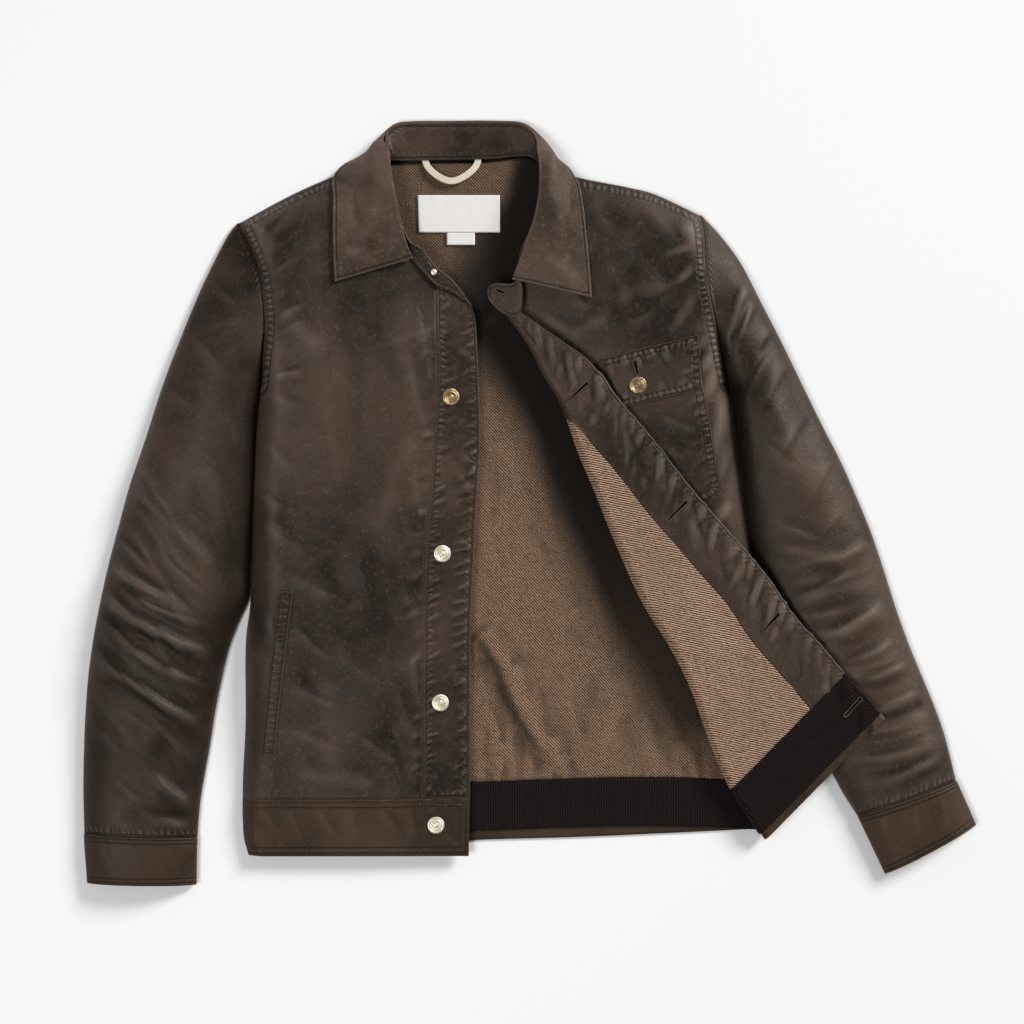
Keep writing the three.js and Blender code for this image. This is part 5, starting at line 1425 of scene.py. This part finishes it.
def brass(name, bright, dark, roughness):
    """Stamped brass or nickelled brass, with patches of dull stain."""
    made, tree = finish_of(name)
    stain = noise(tree, node(tree, "TexCoord")["Object"], 420.0, 5.0, 0.65)
    surfaced(tree, {
        "Base Color": tinted(tree, linear(bright), (stain, 0.42, 0.64, 1.0, dark)), "Metallic": 1.0,
        "Roughness": ranged(tree, stain, 0.3, 0.7, roughness, roughness + 0.2),
    }, stain, 0.2, 0.0002)
    return made


pale_brass = brass("nickelled_brass", "fbf3e4", "cbbda2", 0.42)
old_brass = brass("antique_brass", "bfa884", "5f4a31", 0.38)


def choose_faces(mesh, side):
    """Selects the faces that look up, for a side of 1, or down, for -1, and goes on in edit mode."""
    bpy.ops.mesh.select_all(action="DESELECT")
    bpy.ops.object.mode_set(mode="OBJECT")
    for face in mesh.polygons:
        face.select = face.normal.z * side > 0.9
    bpy.ops.object.mode_set(mode="EDIT")


def tack_button():
    """Models one button at its real size, standing on the XY plane, in metres."""
    bpy.ops.mesh.primitive_cylinder_add(vertices=48, radius=0.0085, depth=0.0022, location=(0, 0, 0.0022))
    made = bpy.context.object
    bpy.ops.object.mode_set(mode="EDIT")
    choose_faces(made.data, 1)
    bpy.ops.mesh.select_mode(type="FACE")
    # From the rim inwards: the rounded rim, a raised ring, the sunk ring and the head of the rivet
    for inset, lift in (
        (0.0011, 0.0005), (0.0009, 0), (0.0006, -0.0005), (0.0006, 0.0004), (0.0007, 0), (0.0006, -0.0013),
        (0.0014, 0), (0.0003, 0.0009), (0.0006, 0.0003),
    ):
        bpy.ops.mesh.inset(thickness=inset, depth=0)
        bpy.ops.transform.translate(value=(0, 0, lift))
    choose_faces(made.data, -1)
    bpy.ops.mesh.inset(thickness=0.0055, depth=0)
    bpy.ops.mesh.extrude_region_move(TRANSFORM_OT_translate={"value": (0, 0, -0.0011)})
    bpy.ops.mesh.select_all(action="DESELECT")
    bpy.ops.object.mode_set(mode="OBJECT")
    bevel = made.modifiers.new("rims", "BEVEL")
    bevel.width = 0.00022
    bevel.segments = 3
    bevel.limit_method = "ANGLE"
    bpy.ops.object.modifier_apply(modifier=bevel.name)
    bpy.ops.object.shade_smooth_by_angle(angle=0.7)
    return made


first_button = tack_button()


def button(name, replaced, finish, slot, x, y, top, lift, size=1.0):
    """A copy of the button set on a surface, square to it."""
    mesh = first_button.data.copy()
    fall_x, fall_y = float(top(x - 4, y) - top(x + 4, y)), float(top(x, y - 4) - top(x, y + 4))
    slope = Vector((fall_x, fall_y, 8)).normalized()
    turn = Vector((0, 0, 1)).rotation_difference(slope)
    foot = Vector((x, y, float(top(x, y)) + lift)) * MM
    for vertex in mesh.vertices:
        vertex.co = foot + turn @ (vertex.co * size)
    mesh.materials.clear()
    made = placed(name, mesh, finish)
    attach(made, "root")
    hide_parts(replaced)


for number, (x, y) in enumerate([(-77.7, 105.4), (-86.3, -50.4), (-88.2, -198.5), (-92.6, -320.3)], 1):
    finish, slot = (old_brass, "antique_brass") if number == 1 else (pale_brass, "pale_brass")
    surface = hem_top if number == 4 else placket_top
    button(f"tack_button_{number}", f"button_{number}", finish, slot, x, y, surface, 0.1)
button("pocket_tack_button", "button_pocket", old_brass, "antique_brass",
       107.5, 116.4, band_top, ON_POCKET + LINING)
button("neck_stud", "button_neck", pale_brass, "pale_brass", -94.5, 229, right_top, 4.5, 0.35)
bpy.data.objects.remove(first_button)

# Topstitching
# Dark brown thread in rows a few millimetres in from the seams: two rows at each armhole, and along the
# shoulders, the placket's seam and front edge and the right hem band. The other rows of stitching are drawn
# in the canvas.


def sewing_thread(name, dark, light):
    """Waxed polyester thread, a little lighter than the canvas."""
    made, tree = finish_of(name)
    uneven = noise(tree, node(tree, "TexCoord")["Object"], 300.0, 2.0)
    surfaced(tree, {"Base Color": mixed(tree, uneven, linear(dark), linear(light)), "Roughness": 0.55})
    return made


thread = sewing_thread("waxed_thread", "20160e", "6b5138")
STITCH_LENGTH = 3.2
THREAD_SIDE = 0.33
THREAD_RISE = 0.3


def inset_line(line, aside, low=0.0, high=1.0):
    """A row of stitches parallel to a seam, a distance to its left."""
    path = walker(line)
    length = lengths(line)[-1]
    t = steps(max(int(length * (high - low) / STITCH_LENGTH), 2), low, high)
    here, before, after = path(t), path(t - 0.01), path(t + 0.01)
    dx, dy = after["x"] - before["x"], after["y"] - before["y"]
    size = np.maximum(np.hypot(dx, dy), 1e-9)
    return here["x"] - dy / size * aside, here["y"] + dx / size * aside


def trim(name, slot, points, faces, finish):
    """A small loose piece of points in mm, which rides on the body and stands for no solid."""
    mesh = bpy.data.meshes.new(name)
    mesh.from_pydata((np.array(points) * MM).tolist(), [], faces)
    made = placed(name, mesh, finish)
    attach(made, "root")


def topstitch(name, slot, rows, top, lift, finish=thread):
    """Rows of single stitches that lie on a surface, each a short spindle with a gap after it."""
    points, faces = [], []
    for x, y in rows:
        z = top(x, y) + lift
        for k in range(len(x) - 1):
            a, b = (np.array([x[j], y[j], z[j]]) for j in (k, k + 1))
            way = b - a
            if not 0.5 < np.linalg.norm(way) < 8:
                continue
            aside = np.cross(way, [0, 0, 1])
            aside = aside / np.linalg.norm(aside) * THREAD_SIDE
            rise = np.array([0, 0, THREAD_RISE])
            first = len(points)
            points += [a + way * 0.04]
            for share in (0.22, 0.6):
                middle = a + way * share
                points += [middle + aside, middle + rise, middle - aside, middle - rise]
            points += [a + way * 0.78]
            for j in range(4):
                n = (j + 1) % 4
                near, far = first + 1, first + 5
                faces += [(first, near + n, near + j), (near + j, near + n, far + n, far + j),
                          (far + j, far + n, first + 9)]
    trim(name, slot, points, faces, finish)


topstitch("right_front_stitching", "waxed_cotton", [
    inset_line(right_armhole, 3), inset_line(right_armhole, 9.5),
    inset_line(right_shoulder, 3), inset_line(placket_seam, -2.5, 0.01, 0.99),
], right_top, 0.15)
topstitch("placket_stitching", "waxed_cotton", [
    inset_line(placket_seam, 2.2, 0.01, 0.99), inset_line(front_edge, -3, 0.02, 0.99),
], placket_top, 0.15)
topstitch("right_hem_stitching", "waxed_band", [
    inset_line(hem_right_line, -3, 0.01, 0.99), inset_line(hem_right_line, -9, 0.01, 0.99),
    inset_line(table("x y", [[-279, -346], [-62, -346]]), 0, 0.01, 0.99),
], hem_top, 0.15)
topstitch("left_front_stitching", "waxed_cotton", [
    inset_line(left_armhole, -3), inset_line(left_armhole, -9.5), inset_line(left_shoulder, -3),
], left_top, 0.15)

# Buttonholes
# Four keyhole buttonholes in the facing and its corduroy end, one in the pocket band and a small one in
# the tab of the stand. Each is a slit bound all round with close stitches that stand across its edge, and
# near-black inside as painted shade.


def top_of(piece):
    """The height of a finished piece's highest point near a place, in mm."""
    points = np.array([vertex.co[:] for vertex in piece.data.vertices]) / MM

    def height(x, y):
        found = []
        for one_x, one_y in zip(np.ravel(x), np.ravel(y)):
            near = np.hypot(points[:, 0] - one_x, points[:, 1] - one_y) < 3
            found.append(points[near, 2].max())
        return np.array(found)
    return height


# Half widths of a slit and its eyelet, how far the stitches reach out of them, and their pitch
HALF_SLIT = 0.7
EYELET = 1.7
END_BITE = 1.7
SIDE_BITE = 2.1
BINDING_PITCH = 0.9


def bound_slit(ends):
    """Short stitches across both edges of a slit and round its two ends, the second an eyelet."""
    a, b = (np.array(end, float) for end in ends)
    length = np.hypot(*(b - a))
    way = (b - a) / length
    aside = np.array([-way[1], way[0]])
    rows = []
    for t in np.arange(0, length, BINDING_PITCH):
        for side in (-1, 1):
            rows.append([a + way * t + aside * side * reach for reach in (HALF_SLIT, HALF_SLIT + SIDE_BITE)])
    for centre, first, radius in ((a, np.pi / 2, HALF_SLIT), (b, -np.pi / 2, EYELET)):
        for angle in first + np.linspace(0, np.pi, 9):
            out = way * np.cos(angle) + aside * np.sin(angle)
            rows.append([centre + out * radius, centre + out * (radius + END_BITE)])
    return [np.transpose(row) for row in rows]


def slit_shade(name, slot, slits, top):
    """The open slits, each a narrow sunk sliver of near-black painted shade."""
    points, faces = [], []
    rim = [0, 2, 4, 6, 7, 5, 3, 1]
    for a, b in slits:
        a, b = np.array(a, float), np.array(b, float)
        way = (b - a) / np.hypot(*(b - a))
        aside = np.array([-way[1], way[0]])
        widths = ((0, 0.1), (0.5, 0.5), (0.9, 0.9), (1.08, 0.8))
        places = [a + (b - a) * t + aside * side * width * 1.5 for t, width in widths for side in (-1, 1)]
        first = len(points)
        heights = top(*np.transpose(places)) + 0.15
        for depth in (0, 0.4):
            points += [(place[0], place[1], height - depth) for place, height in zip(places, heights)]
        faces += [(first + k, first + k + 2, first + k + 3, first + k + 1) for k in (0, 2, 4)]
        faces += [(first + k + 8, first + k + 9, first + k + 11, first + k + 10) for k in (0, 2, 4)]
        after = rim[1:] + rim[:1]
        faces += [(first + i, first + i + 8, first + j + 8, first + j) for i, j in zip(rim, after)]
    trim(name, slot, points, faces, slit_shade_finish)


silk = sewing_thread("buttonhole_thread", "35291a", "6f5a3c")
# Near-black painted shade inside the open slits
slit_shade_finish, slit_shade_tree = finish_of("painted_shade_of_slit")
surfaced(slit_shade_tree, {"Base Color": linear("060403"), "Roughness": 0.9, "Specular IOR Level": 0.0})
for name, slot, piece, slits in (
    ("facing_buttonholes", "waxed_cotton", facing,
     [((39, 102), (56, 117)), ((136, -18), (154, 0)), ((232, -126), (245, -111))]),
    ("corduroy_buttonhole", "corduroy", cord_left, [((312, -210), (326, -194))]),
    ("pocket_buttonhole", "waxed_cotton", flap, [((107.2, 127), (104.5, 139))]),
    ("tab_buttonhole", "waxed_cotton", collar_stand, [((-24, 207), (-31, 210))]),
):
    topstitch(name, slot, [row for slit in slits for row in bound_slit(slit)], top_of(piece), 0.3, silk)
    slit_shade(name.replace("hole", "hole_slit_shade"), slot, slits, top_of(piece))

# Floor, light and camera
# A plain pale floor, a large soft light from the upper right with a weak fill, and a camera straight
# above the jacket, as in the photograph.

bpy.ops.mesh.primitive_plane_add(size=8, location=(0, 0, -0.0004))
floor = bpy.context.object
floor.name = "floor"
floor_finish, floor_tree = finish_of("pale_floor")
surfaced(floor_tree, {"Base Color": linear("f4f4f4"), "Roughness": 0.9, "Specular IOR Level": 0.1})
floor.data.materials.append(floor_finish)

world = bpy.data.worlds.new("studio")
world.use_nodes = True
bpy.context.scene.world = world
sky = world.node_tree.nodes["Background"].inputs
sky["Color"].default_value = (1, 1, 1, 1)
sky["Strength"].default_value = 0.22


def soft_light(name, place, aim, size, power):
    light = bpy.data.lights.new(name, "AREA")
    light.shape = "DISK"
    light.size = size
    light.energy = power
    lamp = bpy.data.objects.new(name, light)
    bpy.context.scene.collection.objects.link(lamp)
    lamp.location = place
    lamp.rotation_euler = (Vector(aim) - Vector(place)).to_track_quat("-Z", "Y").to_euler()


soft_light("key", (5.9, 4.6, 3.9), (0, 0, 0), 2.6, 731)
soft_light("fill", (-1.6, -1.0, 3.2), (0, 0, 0), 1.6, 58)

LENS = 85
SENSOR = 36
camera_data = bpy.data.cameras.new("camera")
camera_data.lens = LENS
camera_data.sensor_width = SENSOR
camera = bpy.data.objects.new("camera", camera_data)
# High enough for the picture to be 1.024 m across at the floor
camera.location = (-0.017, -0.009, 1.024 * LENS / SENSOR)
bpy.context.scene.collection.objects.link(camera)
bpy.context.scene.camera = camera
bpy.context.scene.view_settings.view_transform = "Standard"
